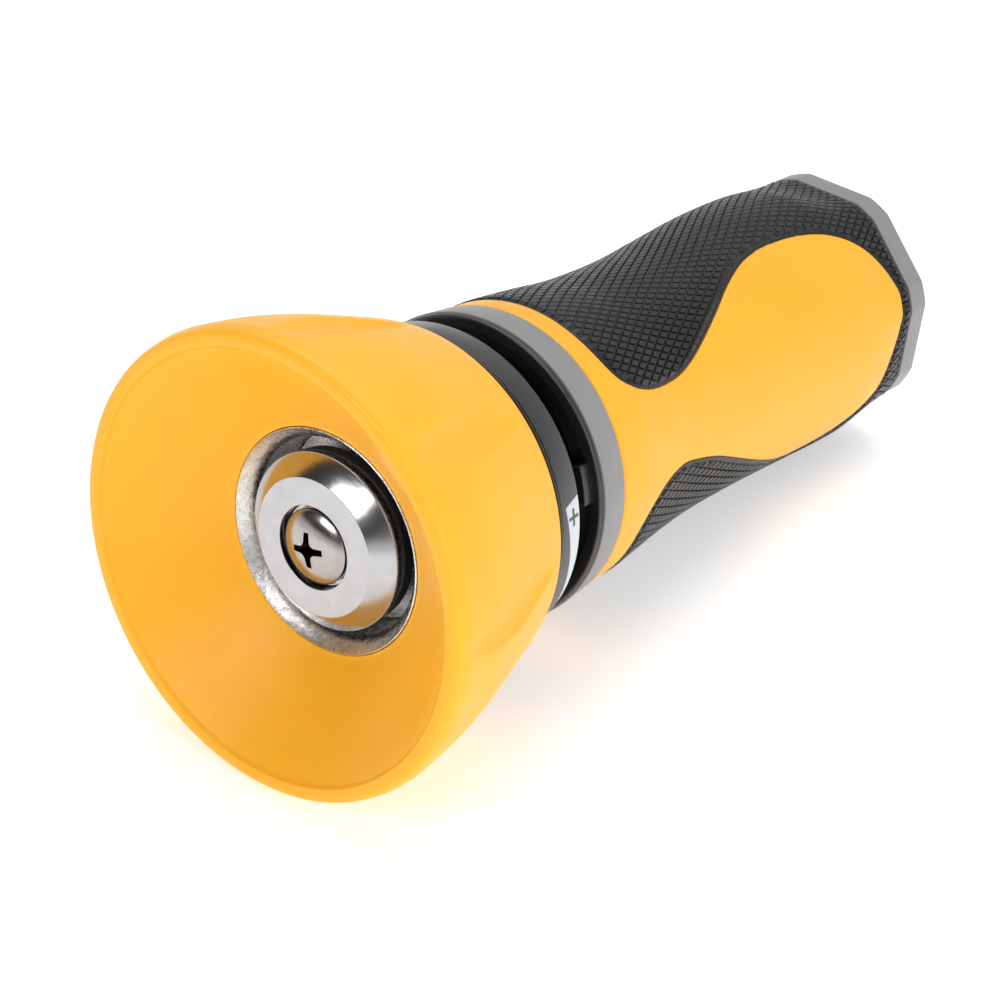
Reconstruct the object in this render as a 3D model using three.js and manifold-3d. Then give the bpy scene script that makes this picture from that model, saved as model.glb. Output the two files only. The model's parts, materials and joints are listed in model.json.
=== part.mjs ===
// A twist-head garden hose spray nozzle, lying on the rim of its bell and the back edge of its end cap.
// Units are millimetres. Every piece is drawn along the nozzle's own axis first: a station is the distance
// along +Y behind the plane of the bell's rim, and an angle is counted from +X, the middle of one side
// panel, towards +Z, the middle of the upper grip. One group then rolls, leans and lifts the whole nozzle.
import * as THREE from "three";
import { mergeVertices } from "three/addons/utils/BufferGeometryUtils.js";
import Module from "manifold-3d";

const wasm = await Module();
wasm.setup();

const DEGREE = Math.PI / 180;
const GAP = 0.3; // clearance between pieces that touch on the real nozzle
const FINE = 72; // facets round the bell
const ROUND = 32; // facets round the other large pieces
const SMALL = 24; // facets round the small inner pieces

// How the nozzle lies: one flat of the octagonal end cap faces the floor.
const OVERALL_END = 158.7; // station of the end cap's back face
const RIM_RADIUS = 38;
const RIM_CREST = 1.2; // station where the bell is widest
const CAP_FLAT = 22.2; // axis to a flat of the end cap's lower half
const CAP_CORNER = 23.6; // axis to the end cap's softened corners
const CAP_TALLER = 1.06; // how much taller the cap's upper half is
const ROLL = 22.5 * DEGREE;
const LEAN = Math.atan((RIM_RADIUS - CAP_FLAT) / (OVERALL_END - RIM_CREST));

// Bell
const BELL_END = 34.4;
const HUB_BORE = 18.9;
const FLUTE_COUNT = 8;
const FLUTE_DEPTH = 1.1;
const FLUTE_FRONT = 0.8; // stations where the finger flutes start and end
const FLUTE_BACK = 31.2;
const FLUTE_HALF_ANGLE = 6.2 * DEGREE;
const FLUTE_ANGLE = -17.5 * DEGREE; // middle of the flute below the side panel

// Outlet barrel and valve seat
const OUTLET_RADIUS = 18.6;
const OUTLET_FRONT = 12.45;
const OUTLET_LIP = 0.25; // thickness of the barrel's front edge
const OUTLET_STEP = 37.5; // station where the barrel narrows to its tail
const THROAT_RADIUS = 16.3;
const THROAT_START = 15.6;
const SEAT_STATION = 23.35;
const SEAT_RADIUS = 11;
const SEAT_BACK = 26.4;
const BARREL_BORE = 13.7;
const BARREL_TAIL_RADIUS = 17.2;
const BARREL_END = 54;

// Indicator ring, its long sleeve and its label
const RING_START = 34.7;
const RING_END = 42.2;
const RING_FRONT_RADIUS = 28.2;
const RING_BACK_RADIUS = 27.1;
const SKIRT_BORE = 25.7;
const RING_WEB = 2.5;
const SLEEVE_RADIUS = 20;
const SLEEVE_BORE = 17.5;
const SLEEVE_STEP = 37.8;
const SLEEVE_END = 58.8;
const SLOT_COUNT = 3;
const SLOT_START = 50.5;
const SLOT_WIDTH = 5.2;
const LABEL_BACK = 41.9;
const LABEL_WIDTH = 4;
const LABEL_TIP_WIDTH = 0.5;
const LABEL_FROM = -45 * DEGREE; // the wedge's thin end
const LABEL_TO = -3.5 * DEGREE; // its wide end, beside the pointer
const LABEL_THICKNESS = 0.6;

// Stop ring and the wire ring that keeps it in the pointer collar
const STOP_START = 51;
const STOP_THICKNESS = 1.8;
const STOP_RADIUS = 22.2;
const STOP_TAB_RADIUS = 23.4;
const STOP_TAB_HALF = 10 * DEGREE;
const STOP_ROOT = 0.8; // how far tabs and keys reach into the ring
const STOP_ANGLE = 180 * DEGREE; // where the tab stands in the pose drawn
const TURN_BACK = 12 * DEGREE; // turn left before the head is fully open
const TURN_SHUT = 225 * DEGREE; // turn that closes the valve
const CLIP_START = 53.1;
const CLIP_THICKNESS = 1;
const CLIP_GROOVE = 23.5;

// Pointer collar and front ring
const COLLAR_FRONT = 48.5;
const COLLAR_FACE = 50.2;
const COLLAR_LIP_RADIUS = 26.3;
const COLLAR_LIP_BACK = 49.3;
const COLLAR_RECESS = 24.2;
const COLLAR_RADIUS = 25;
const COLLAR_TAIL_RADIUS = 23.6;
const COLLAR_BORE = 22.6;
const COLLAR_HOLE = 20.4; // the hole in the collar's face
const COLLAR_SHOULDER = 55.6;
const COLLAR_END = 60;
const POINTER_FRONT = 46.4;
const POINTER_FROM = -12 * DEGREE;
const POINTER_TO = 3.5 * DEGREE;
const POINTER_INNER = 22.4;
const POINTER_OUTER = 24.9;
const FRONT_RING_START = 49.6;
const FRONT_RING_RADIUS = 26.6;
const FRONT_RING_BACK_RADIUS = 26.05;
const FRONT_RING_BORE = 25.3;

// Handle: [station, half width, height above the axis, depth below it, squareness of the section]
const HANDLE_SECTIONS = [
  [55.9, 25.9, 25.9, 25.9, 2],
  [63, 25.5, 25.5, 25.5, 2],
  [71, 24.2, 24.8, 24.8, 2],
  [80, 23, 23.8, 23.9, 2],
  [90, 22.4, 23.3, 23, 2.05],
  [101, 22.2, 23.3, 22.8, 2.1],
  [112, 22.3, 24.1, 23, 2.1],
  [124, 22.6, 25, 23.4, 2.1],
  [135, 22.8, 25.2, 23.8, 2.1],
  [145, 22.7, 24.7, 23.7, 2.15],
  [152.8, 22.4, 23.6, 23.2, 2.2],
];
const HANDLE_START = 55.9;
const HANDLE_END = 152.8;
const OCTAGON_FROM = 138; // behind this the section grows into the end cap's octagon
const GRIP_THICKNESS = 2.2;
const SHELL_THICKNESS = 3.6;
const CORE_START = 60.3;
const CORE_BORE = 13.5;
const CORE_TUBE_RADIUS = 17;
const CORE_DEPTH = 12;
// Outline of a side panel, seen square on: [station, height], from the top of the collar round its back
const PANEL_OUTLINE = [
  [50, 30],
  [60.4, 30],
  [60.5, 24],
  [60.7, 18.2],
  [61.3, 14],
  [62.3, 11.6],
  [64.2, 9.8],
  [67, 8.2],
  [70.5, 7.1],
  [75, 6.6],
  [80, 6.7],
  [84.5, 7.7],
  [90, 9.7],
  [97, 12.6],
  [105, 15.9],
  [113.5, 18.3],
  [122, 19],
  [130, 18.5],
  [137, 16.9],
  [143, 13.7],
  [147.3, 9.6],
  [149.5, 5],
  [150, 0],
  [149.5, -5],
  [147.8, -9.8],
  [144.5, -14.9],
  [139, -18.4],
  [132, -20.4],
  [125, -20.9],
  [118, -20.2],
  [110, -18],
  [103, -15.6],
  [96, -13],
  [89.5, -10.6],
  [83, -8.9],
  [77, -7.9],
  [72, -8.7],
  [68.4, -10.4],
  [65.4, -12.7],
  [63.6, -15.6],
  [63.1, -20],
  [63, -30],
  [50, -30],
];

// Hose end
const CAP_START = 153.1;
const CAP_BEVEL = 0.7;
const INSERT_RADIUS = 16.7;
const INSERT_START = 136;
const INSERT_END = 158.4;
const SOCKET_FLOOR = 144;
const THREAD_START = 148.4;
const THREAD_PITCH = 2.2;
const THREAD_TURNS = 4;
const THREAD_ROOT = 13.6;
const THREAD_CREST = 12.5;
const INSERT_HOLE = 9;
const WASHER_BORE = 8.5;
const WASHER_RADIUS = 12.9;
const WASHER_BACK = 147.2;

// Water tube, stem and tip
const TUBE_START = 27.5;
const TUBE_END = 141.5;
const TUBE_RADIUS = 13.2;
const TUBE_BORE = 9.8;
const TUBE_WIDE_BORE = 11;
const BARREL_SEAL_STATIONS = [31, 35.5];
const BARREL_SEAL_RADIUS = 12.55;
const BARREL_SEAL_SECTION = 0.85;
const BARREL_GROOVE_WIDTH = 2.3;
const BARREL_GROOVE_FLOOR = 11.4;
const INLET_SEAL_STATION = 138.6;
const INLET_SEAL_RADIUS = 12.75;
const INLET_SEAL_SECTION = 0.5;
const INLET_GROOVE_WIDTH = 1.8;
const INLET_GROOVE_FLOOR = 12;
const SPIDER_CLIP_GROOVE = [65.9, 67.5];
const SPIDER_CLIP_FLOOR = 11.9;
const SPIDER_START = 60.3;
const SPIDER_END = 65.8;
const SPIDER_HUB = 7;
const SPIDER_RIM = 9.3;
const SPIDER_ARMS = 3;
const SPIDER_ARM_WIDTH = 2.4;
const NUT_RADIUS = 6.35;
const NUT_THICKNESS = 3.5;
const TIP_FACE = 10.07;
const TIP_RADIUS = 14.64;
const TIP_FLAT_RADIUS = 11.4;
const TIP_EDGE = 12.75;
const TIP_BACK = 14.5;
const TIP_BEVEL = 0.5;
const WELL_RADIUS = 6.9;
const WELL_FLOOR = 12.1;
const DISC_FLOOR = 13.1; // the stem's nose ends here, in the disc's back
const NOSE_RADIUS = 3.6;
const SCREW_CROWN = 8.6;
const SCREW_HEAD_RADIUS = 5.8;
const SCREW_UNDER = 11.8;
const SCREW_SHANK = 2.4;
const SCREW_END = 24;
const SCREW_CROSS = [5.6, 4.6, 1.2]; // across, deep, wide
const SCREW_CROSS_ANGLE = -9.6 * DEGREE;
const GASKET_RADIUS = 14.3;
const GASKET_BACK = 17.3;
const STEM_RADIUS = 4.2;
const STEM_BORE = 2.8;
const STEM_BORE_END = 25.5;
const STEM_FLANGE_RADIUS = 9.2;
const STEM_FLANGE_BACK = 19;
const STEM_SHOULDER = [57.5, 6]; // station and radius of the collar in front of the spider
const STEM_END = 71;

// A material in the piece's own colour.
function finish(color, roughness, metalness) {
  return new THREE.MeshStandardMaterial({ color, roughness, metalness });
}

const FINISH = {
  bell: finish(0xffb62e, 0.45, 0),
  panel: finish(0xffb62e, 0.4, 0),
  rubber: finish(0x2c2c2b, 0.8, 0),
  blackPlastic: finish(0x1b1b1c, 0.45, 0),
  greyPlastic: finish(0xa4a5a3, 0.5, 0),
  castMetal: finish(0x9a9792, 0.45, 1),
  platedMetal: finish(0xc9cacc, 0.18, 1),
  tubeMetal: finish(0xb4b6b8, 0.35, 1),
  brass: finish(0xb9975a, 0.35, 1),
  seal: finish(0x141414, 0.7, 0),
  label: finish(0xd9dde2, 0.4, 0),
};

// A closed profile of [radius, station] points, turned round the axis with its faces outward.
function turned(profile, facets) {
  const open = profile[0][0] === 0;
  const loop = open ? [...profile] : [...profile, profile[0]];
  let area = 0;
  for (let i = 1; i < loop.length; i += 1) {
    area += (loop[i][0] + loop[i - 1][0]) * (loop[i][1] - loop[i - 1][1]);
  }
  if (area < 0) loop.reverse();
  const points = loop.map(([radius, station]) => new THREE.Vector2(radius, station));
  return new THREE.LatheGeometry(points, facets);
}

// Moves each point of a turned shape in or out: newRadius(radius, station, angle) says how far.
function reshaped(geometry, newRadius) {
  const position = geometry.getAttribute("position");
  for (let i = 0; i < position.count; i += 1) {
    const x = position.getX(i);
    const z = position.getZ(i);
    const radius = Math.hypot(x, z);
    const scale = newRadius(radius, position.getY(i), Math.atan2(z, x)) / radius;
    position.setX(i, x * scale);
    position.setZ(i, z * scale);
  }
  return geometry;
}

// A block bent round the axis: where(along, across, out) gives [angle, station, radius] for 0 to 1 each way.
function bent(facets, where) {
  const geometry = new THREE.BoxGeometry(1, 1, 1, facets, 1, 1);
  const position = geometry.getAttribute("position");
  for (let i = 0; i < position.count; i += 1) {
    const along = position.getX(i) + 0.5;
    const across = position.getY(i) + 0.5;
    const out = position.getZ(i) + 0.5;
    const [angle, station, radius] = where(along, across, out);
    position.setXYZ(i, radius * Math.cos(angle), station, radius * Math.sin(angle));
  }
  return geometry;
}

// A bent block between two angles, two stations and two radii.
function arcBlock(fromAngle, toAngle, fromStation, toStation, inner, outer, facets) {
  return bent(facets, (along, across, out) => [
    fromAngle + (toAngle - fromAngle) * along,
    fromStation + (toStation - fromStation) * across,
    inner + (outer - inner) * out,
  ]);
}

// A straight block that stands out from the axis at an angle, for vanes, keys and slots.
function spoke(angle, width, fromStation, toStation, inner, outer) {
  const geometry = new THREE.BoxGeometry(outer - inner, toStation - fromStation, width);
  geometry.translate((outer + inner) / 2, (fromStation + toStation) / 2, 0);
  return geometry.rotateY(-angle);
}

// The geometry as a manifold-3d solid, and back.
function solid(geometry) {
  const bare = new THREE.BufferGeometry();
  const loose = geometry.index ? geometry.toNonIndexed() : geometry;
  bare.setAttribute("position", loose.getAttribute("position"));
  const merged = mergeVertices(bare, 1e-4);
  const vertProperties = merged.getAttribute("position").array;
  const triVerts = new Uint32Array(merged.index.array);
  const made = new wasm.Manifold(new wasm.Mesh({ numProp: 3, vertProperties, triVerts }));
  return made.volume() < 0 ? solid(flipped(geometry)) : made;
}

function flipped(geometry) {
  const loose = geometry.index ? geometry.toNonIndexed() : geometry.clone();
  const position = loose.getAttribute("position");
  for (let i = 0; i < position.count; i += 3) {
    const first = new THREE.Vector3().fromBufferAttribute(position, i);
    const second = new THREE.Vector3().fromBufferAttribute(position, i + 1);
    position.setXYZ(i, second.x, second.y, second.z);
    position.setXYZ(i + 1, first.x, first.y, first.z);
  }
  return loose;
}

function geometryOf(shape) {
  const mesh = shape.getMesh();
  const geometry = new THREE.BufferGeometry();
  geometry.setAttribute("position", new THREE.BufferAttribute(new Float32Array(mesh.vertProperties), 3));
  geometry.setIndex(new THREE.BufferAttribute(new Uint32Array(mesh.triVerts), 1));
  geometry.computeVertexNormals();
  return geometry;
}

// A round ring between two radii and two stations.
function ring(inner, outer, fromStation, toStation, facets) {
  const profile = [
    [inner, fromStation],
    [outer, fromStation],
    [outer, toStation],
    [inner, toStation],
  ];
  return turned(profile, facets);
}

function piece(name, geometry, material) {
  const mesh = new THREE.Mesh(geometry, material);
  mesh.name = name;
  return mesh;
}

// A round seal: a ring of round section.
function oRing(name, station, middleRadius, sectionRadius) {
  const geometry = new THREE.TorusGeometry(middleRadius, sectionRadius, 6, SMALL);
  geometry.rotateX(Math.PI / 2);
  geometry.translate(0, station, 0);
  return piece(name, geometry, FINISH.seal);
}

// How deep the finger flutes cut at a station and angle: leaf-shaped hollows, closed at both ends.
function fluteDepth(station, angle) {
  const along = (station - FLUTE_FRONT) / (FLUTE_BACK - FLUTE_FRONT);
  if (along <= 0 || along >= 1) return 0;
  const swell = Math.sin(along * Math.PI) ** 0.7;
  const spacing = (2 * Math.PI) / FLUTE_COUNT;
  const turns = (angle - FLUTE_ANGLE) / spacing;
  const offAxis = Math.abs(turns - Math.round(turns)) * spacing;
  const halfAngle = FLUTE_HALF_ANGLE * swell;
  if (offAxis >= halfAngle) return 0;
  return FLUTE_DEPTH * swell * Math.cos((0.5 * Math.PI * offAxis) / halfAngle);
}

function bell() {
  const outside = [
    [36.6, -1.2],
    [37.5, -0.5],
    [RIM_RADIUS, RIM_CREST],
    [37.4, 6],
    [36.8, 10],
    [35.9, 14],
    [34.7, 18.5],
    [33.3, 23],
    [31.9, 27.4],
    [30.5, 31.6],
    [29.7, 33.6],
    [28.5, BELL_END],
  ];
  const hollowBehindCone = [
    [25.7, BELL_END],
    [27, 31],
    [29.4, 24],
    [31.8, 16],
    [33.2, 8],
    [32.6, 6],
    [22.2, 14],
    [22.2, BELL_END],
  ];
  const hubAndCone = [
    [HUB_BORE, BELL_END],
    [HUB_BORE, 12.6],
    [22.8, 9.6],
    [28.6, 4.9],
    [33.4, 0.9],
    [35.1, -0.8],
  ];
  const blank = turned([...outside, ...hollowBehindCone, ...hubAndCone], FINE);
  const fluted = reshaped(blank, (radius, station, angle) => {
    const middleOfWall = 37.4 - station * 0.29;
    return radius > middleOfWall ? radius - fluteDepth(station, angle) : radius;
  });
  return piece("bell", fluted, FINISH.bell);
}

function outletBarrel() {
  const profile = [
    [OUTLET_RADIUS, OUTLET_FRONT],
    [OUTLET_RADIUS, OUTLET_STEP],
    [BARREL_TAIL_RADIUS, OUTLET_STEP],
    [BARREL_TAIL_RADIUS, BARREL_END],
    [BARREL_BORE, BARREL_END],
    [BARREL_BORE, SEAT_BACK],
    [SEAT_RADIUS, SEAT_BACK],
    [SEAT_RADIUS, SEAT_STATION],
    [THROAT_RADIUS, SEAT_STATION],
    [THROAT_RADIUS, THROAT_START],
    [OUTLET_RADIUS - OUTLET_LIP, OUTLET_FRONT],
  ];
  return piece("outlet_barrel", turned(profile, ROUND), FINISH.castMetal);
}

// The indicator ring's outer radius at a station.
function ringRadius(station) {
  const along = (station - RING_START) / (RING_END - RING_START);
  return RING_FRONT_RADIUS + (RING_BACK_RADIUS - RING_FRONT_RADIUS) * along;
}

// The wedge that shows the flow, grown by a margin all round and sunk to a depth.
function labelWedge(margin, depth, proud) {
  const marginAngle = margin / RING_BACK_RADIUS;
  return bent(14, (along, across, out) => {
    const width = LABEL_TIP_WIDTH + (LABEL_WIDTH - LABEL_TIP_WIDTH) * along;
    const front = LABEL_BACK - width - margin;
    const station = front + (width + 2 * margin) * across;
    const angle = LABEL_FROM - marginAngle + (LABEL_TO - LABEL_FROM + 2 * marginAngle) * along;
    return [angle, station, ringRadius(station) - depth + (depth + proud) * out];
  });
}

function indicatorRing() {
  const profile = [
    [HUB_BORE, RING_START],
    [RING_FRONT_RADIUS, RING_START],
    [RING_BACK_RADIUS, RING_END],
    [SKIRT_BORE, RING_END],
    [SKIRT_BORE, RING_START + RING_WEB],
    [SLEEVE_RADIUS, RING_START + RING_WEB],
    [SLEEVE_RADIUS, SLEEVE_END],
    [SLEEVE_BORE, SLEEVE_END],
    [SLEEVE_BORE, SLEEVE_STEP],
    [HUB_BORE, SLEEVE_STEP],
  ];
  let shape = solid(turned(profile, ROUND));
  const pocket = labelWedge(GAP, LABEL_THICKNESS + GAP, 1);
  shape = shape.subtract(solid(pocket));
  for (let i = 0; i < SLOT_COUNT; i += 1) {
    const angle = (i * 2 * Math.PI) / SLOT_COUNT;
    const slot = spoke(angle, SLOT_WIDTH, SLOT_START, SLEEVE_END + 1, 14, SLEEVE_RADIUS + 1);
    shape = shape.subtract(solid(slot));
  }
  return piece("indicator_ring", geometryOf(shape), FINISH.blackPlastic);
}

function indicatorLabel() {
  return piece("indicator_label", geometryOf(solid(labelWedge(0, LABEL_THICKNESS, 0))), FINISH.label);
}

// Turns with the head by three keys in the sleeve's slots, and stops it with a tab on its rim.
function stopRing() {
  const end = STOP_START + STOP_THICKNESS;
  let shape = solid(ring(SLEEVE_RADIUS + GAP, STOP_RADIUS, STOP_START, end, ROUND));
  for (let i = 0; i < SLOT_COUNT; i += 1) {
    const angle = (i * 2 * Math.PI) / SLOT_COUNT;
    const inner = SLEEVE_BORE + 2 * GAP;
    const key = spoke(angle, SLOT_WIDTH - 2 * GAP, STOP_START, end, inner, STOP_RADIUS - STOP_ROOT);
    shape = shape.add(solid(key));
  }
  const from = STOP_ANGLE - STOP_TAB_HALF;
  const to = STOP_ANGLE + STOP_TAB_HALF;
  const tab = arcBlock(from, to, STOP_START, end, STOP_RADIUS - STOP_ROOT, STOP_TAB_RADIUS, 4);
  shape = shape.add(solid(tab));
  return piece("stop_ring", geometryOf(shape), FINISH.blackPlastic);
}

// A spring clip: a flat ring with a gap in it.
function clip(name, inner, outer, start, thickness, gapAngle) {
  const from = 90 * DEGREE + gapAngle / 2;
  const to = 450 * DEGREE - gapAngle / 2;
  const geometry = arcBlock(from, to, start, start + thickness, inner, outer, SMALL);
  return piece(name, geometryOf(solid(geometry)), FINISH.tubeMetal);
}

function pointerCollar() {
  const clipFront = CLIP_START - GAP / 2;
  const clipBack = CLIP_START + CLIP_THICKNESS + GAP / 2;
  const profile = [
    [COLLAR_RECESS, COLLAR_FRONT],
    [COLLAR_LIP_RADIUS, COLLAR_FRONT],
    [COLLAR_LIP_RADIUS, COLLAR_LIP_BACK],
    [COLLAR_RADIUS, COLLAR_LIP_BACK],
    [COLLAR_RADIUS, COLLAR_SHOULDER],
    [COLLAR_TAIL_RADIUS, COLLAR_SHOULDER],
    [COLLAR_TAIL_RADIUS, COLLAR_END],
    [COLLAR_BORE, COLLAR_END],
    [COLLAR_BORE, clipBack],
    [CLIP_GROOVE, clipBack],
    [CLIP_GROOVE, clipFront],
    [COLLAR_BORE, clipFront],
    [COLLAR_BORE, STOP_START - GAP],
    [COLLAR_HOLE, STOP_START - GAP],
    [COLLAR_HOLE, COLLAR_FACE],
    [COLLAR_RECESS, COLLAR_FACE],
  ];
  let shape = solid(turned(profile, ROUND));
  const slack = 1 * DEGREE;
  const from = STOP_ANGLE - STOP_TAB_HALF - TURN_BACK - slack;
  const to = STOP_ANGLE + STOP_TAB_HALF + TURN_SHUT + slack;
  const inner = COLLAR_BORE - 1;
  const track = arcBlock(from, to, STOP_START - GAP, clipFront + 0.01, inner, STOP_TAB_RADIUS + GAP, ROUND);
  shape = shape.subtract(solid(track));
  const root = COLLAR_FACE + GAP;
  const pointer = arcBlock(POINTER_FROM, POINTER_TO, POINTER_FRONT, root, POINTER_INNER, POINTER_OUTER, 4);
  shape = shape.add(solid(pointer));
  return piece("pointer_collar", geometryOf(shape), FINISH.blackPlastic);
}

function frontRing() {
  const profile = [
    [FRONT_RING_BORE, FRONT_RING_START],
    [FRONT_RING_RADIUS, FRONT_RING_START],
    [FRONT_RING_BACK_RADIUS, COLLAR_SHOULDER],
    [FRONT_RING_BORE, COLLAR_SHOULDER],
  ];
  return piece("front_ring", turned(profile, ROUND), FINISH.greyPlastic);
}

const handleCurve = new THREE.CubicInterpolant(
  HANDLE_SECTIONS.map((section) => section[0]),
  HANDLE_SECTIONS.flatMap((section) => section.slice(1)),
  4,
);

// Radius of the end cap: an octagon with softened corners, one of them on the middle of each side panel.
function capRadius(angle) {
  const taller = Math.sin(angle) > 0 ? CAP_TALLER : 1;
  const even = Math.atan2(Math.sin(angle) / taller, Math.cos(angle)); // the angle before the upper half grows
  const side = Math.PI / 4;
  const offFlat = even - side * Math.floor(even / side) - side / 2;
  const radius = Math.min(CAP_FLAT / Math.cos(offFlat), CAP_CORNER);
  return radius * Math.hypot(Math.cos(even), Math.sin(even) * taller);
}

// The handle's outside: a soft oval that turns into the end cap's octagon at the back.
function handleRadius(station, angle) {
  const [width, top, bottom, squareness] = handleCurve.evaluate(station);
  const height = Math.sin(angle) > 0 ? top : bottom;
  const across = Math.abs(Math.cos(angle) / width) ** squareness;
  const upright = Math.abs(Math.sin(angle) / height) ** squareness;
  const oval = (across + upright) ** (-1 / squareness);
  const blend = THREE.MathUtils.smoothstep(station, OCTAGON_FROM, HANDLE_END);
  return oval + (capRadius(angle) - 0.1 - oval) * blend;
}

// A sleeve that follows the handle's outside between two depths under it and two stations.
function handleSkin(shallow, deep, fromStation, toStation) {
  const drawn = HANDLE_SECTIONS.map((section) => section[0]);
  const stations = drawn.filter((station) => station > fromStation + 1 && station < toStation - 1);
  stations.unshift(fromStation);
  stations.push(toStation);
  const outside = stations.map((station) => [2, station]);
  const inside = stations.map((station) => [1, station]).reverse();
  const blank = turned([...outside, ...inside], ROUND);
  return reshaped(blank, (radius, station, angle) => {
    const depth = radius > 1.5 ? shallow : deep;
    return handleRadius(station, angle) - depth;
  });
}

// An outline of points drawn in by a margin, each point along the normal at it.
function inset(points, margin) {
  return points.map((point, i) => {
    const before = points[Math.max(i - 1, 0)];
    const after = points[Math.min(i + 1, points.length - 1)];
    const along = new THREE.Vector2().subVectors(after, before).normalize();
    return new THREE.Vector2(point.x + along.y * margin, point.y - along.x * margin);
  });
}

// The side panels' outline as a bar through the handle, drawn in by a margin.
function panelBar(margin) {
  const drawn = PANEL_OUTLINE.map(([station, height]) => new THREE.Vector2(station, height));
  const outline = new THREE.Shape(inset(drawn, margin));
  const bar = new THREE.ExtrudeGeometry(outline, { depth: 60, bevelEnabled: false });
  bar.translate(0, 0, -30);
  bar.rotateZ(Math.PI / 2);
  return bar.rotateY(Math.PI / 2);
}

// Yellow shell: the side panels and the front collar at full height, the rest sunk under the grips.
function handleShell() {
  let shape = solid(handleSkin(0, SHELL_THICKNESS, HANDLE_START, HANDLE_END));
  const around = solid(handleSkin(-2, GRIP_THICKNESS + GAP, HANDLE_START + 0.5, HANDLE_END + 2));
  shape = shape.subtract(around.subtract(solid(panelBar(GAP))));
  const collarRoom = ring(CORE_BORE, COLLAR_TAIL_RADIUS + GAP, HANDLE_START - 1, COLLAR_END + GAP, ROUND);
  shape = shape.subtract(solid(collarRoom));
  return piece("handle_shell", geometryOf(shape), FINISH.panel);
}

// The rubber overmould, in an upper and a lower half that meet at the parting line behind each panel.
function grip(name, sign) {
  const skin = solid(handleSkin(0, GRIP_THICKNESS, HANDLE_START + 1, HANDLE_END));
  const half = new THREE.BoxGeometry(80, 200, 40);
  half.translate(0, 100, sign * (20 + GAP / 2));
  const shape = skin.subtract(solid(panelBar(0))).intersect(solid(half));
  return piece(name, geometryOf(shape), FINISH.rubber);
}

function handleCore() {
  const seat = INSERT_RADIUS + GAP;
  let shape = solid(handleSkin(SHELL_THICKNESS + 2 * GAP, CORE_DEPTH, CORE_START, HANDLE_END));
  shape = shape.add(solid(ring(CORE_BORE, CORE_TUBE_RADIUS, CORE_START, HANDLE_END, ROUND)));
  shape = shape.subtract(solid(ring(1, CORE_BORE, CORE_START - 1, HANDLE_END + 1, ROUND)));
  shape = shape.subtract(solid(ring(1, seat, INSERT_START - GAP, HANDLE_END + 1, ROUND)));
  return piece("handle_core", geometryOf(shape), FINISH.blackPlastic);
}

// A prism as long as the end cap, with its back edge bevelled.
function capPrism(radius, facets) {
  const profile = [
    [0, CAP_START],
    [radius, CAP_START],
    [radius, OVERALL_END - CAP_BEVEL],
    [radius - CAP_BEVEL, OVERALL_END],
    [0, OVERALL_END],
  ];
  return solid(turned(profile, facets));
}

// An octagonal cap with softened corners, a taller upper half and a round bore.
function endCap() {
  const octagon = capPrism(CAP_FLAT / Math.cos(Math.PI / 8), 8);
  const outside = geometryOf(octagon.intersect(capPrism(CAP_CORNER, ROUND)));
  const position = outside.getAttribute("position");
  for (let i = 0; i < position.count; i += 1) {
    position.setZ(i, position.getZ(i) * (position.getZ(i) > 0 ? CAP_TALLER : 1));
  }
  const bore = ring(0, INSERT_RADIUS + GAP, CAP_START - 1, OVERALL_END + 1, ROUND);
  return piece("end_cap", geometryOf(solid(outside).subtract(solid(bore))), FINISH.greyPlastic);
}

// Threaded metal socket that the hose screws into; its thread is drawn as separate ridges.
function inletInsert() {
  const socket = [
    [THREAD_ROOT, SOCKET_FLOOR],
    [THREAD_ROOT, THREAD_START],
  ];
  for (let turn = 0; turn < THREAD_TURNS; turn += 1) {
    const start = THREAD_START + turn * THREAD_PITCH;
    socket.push([THREAD_CREST, start + 0.35 * THREAD_PITCH]);
    socket.push([THREAD_CREST, start + 0.6 * THREAD_PITCH]);
    socket.push([THREAD_ROOT, start + 0.95 * THREAD_PITCH]);
  }
  const profile = [
    [TUBE_RADIUS + GAP, INSERT_START],
    [TUBE_RADIUS + GAP, TUBE_END + GAP],
    [INSERT_HOLE, TUBE_END + GAP],
    [INSERT_HOLE, SOCKET_FLOOR],
    ...socket,
    [THREAD_ROOT + 0.5, INSERT_END],
    [INSERT_RADIUS, INSERT_END],
    [INSERT_RADIUS, INSERT_START],
  ];
  return piece("inlet_insert", turned(profile, SMALL), FINISH.brass);
}

function hoseWasher() {
  const geometry = ring(WASHER_BORE, WASHER_RADIUS, SOCKET_FLOOR + GAP, WASHER_BACK, SMALL);
  return piece("hose_washer", geometry, FINISH.seal);
}

// A groove for a seal, cut into a turned profile: its two walls and floor.
function groove(outer, floor, middle, width) {
  const start = middle - width / 2;
  return [
    [outer, start],
    [floor, start],
    [floor, start + width],
    [outer, start + width],
  ];
}

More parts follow.
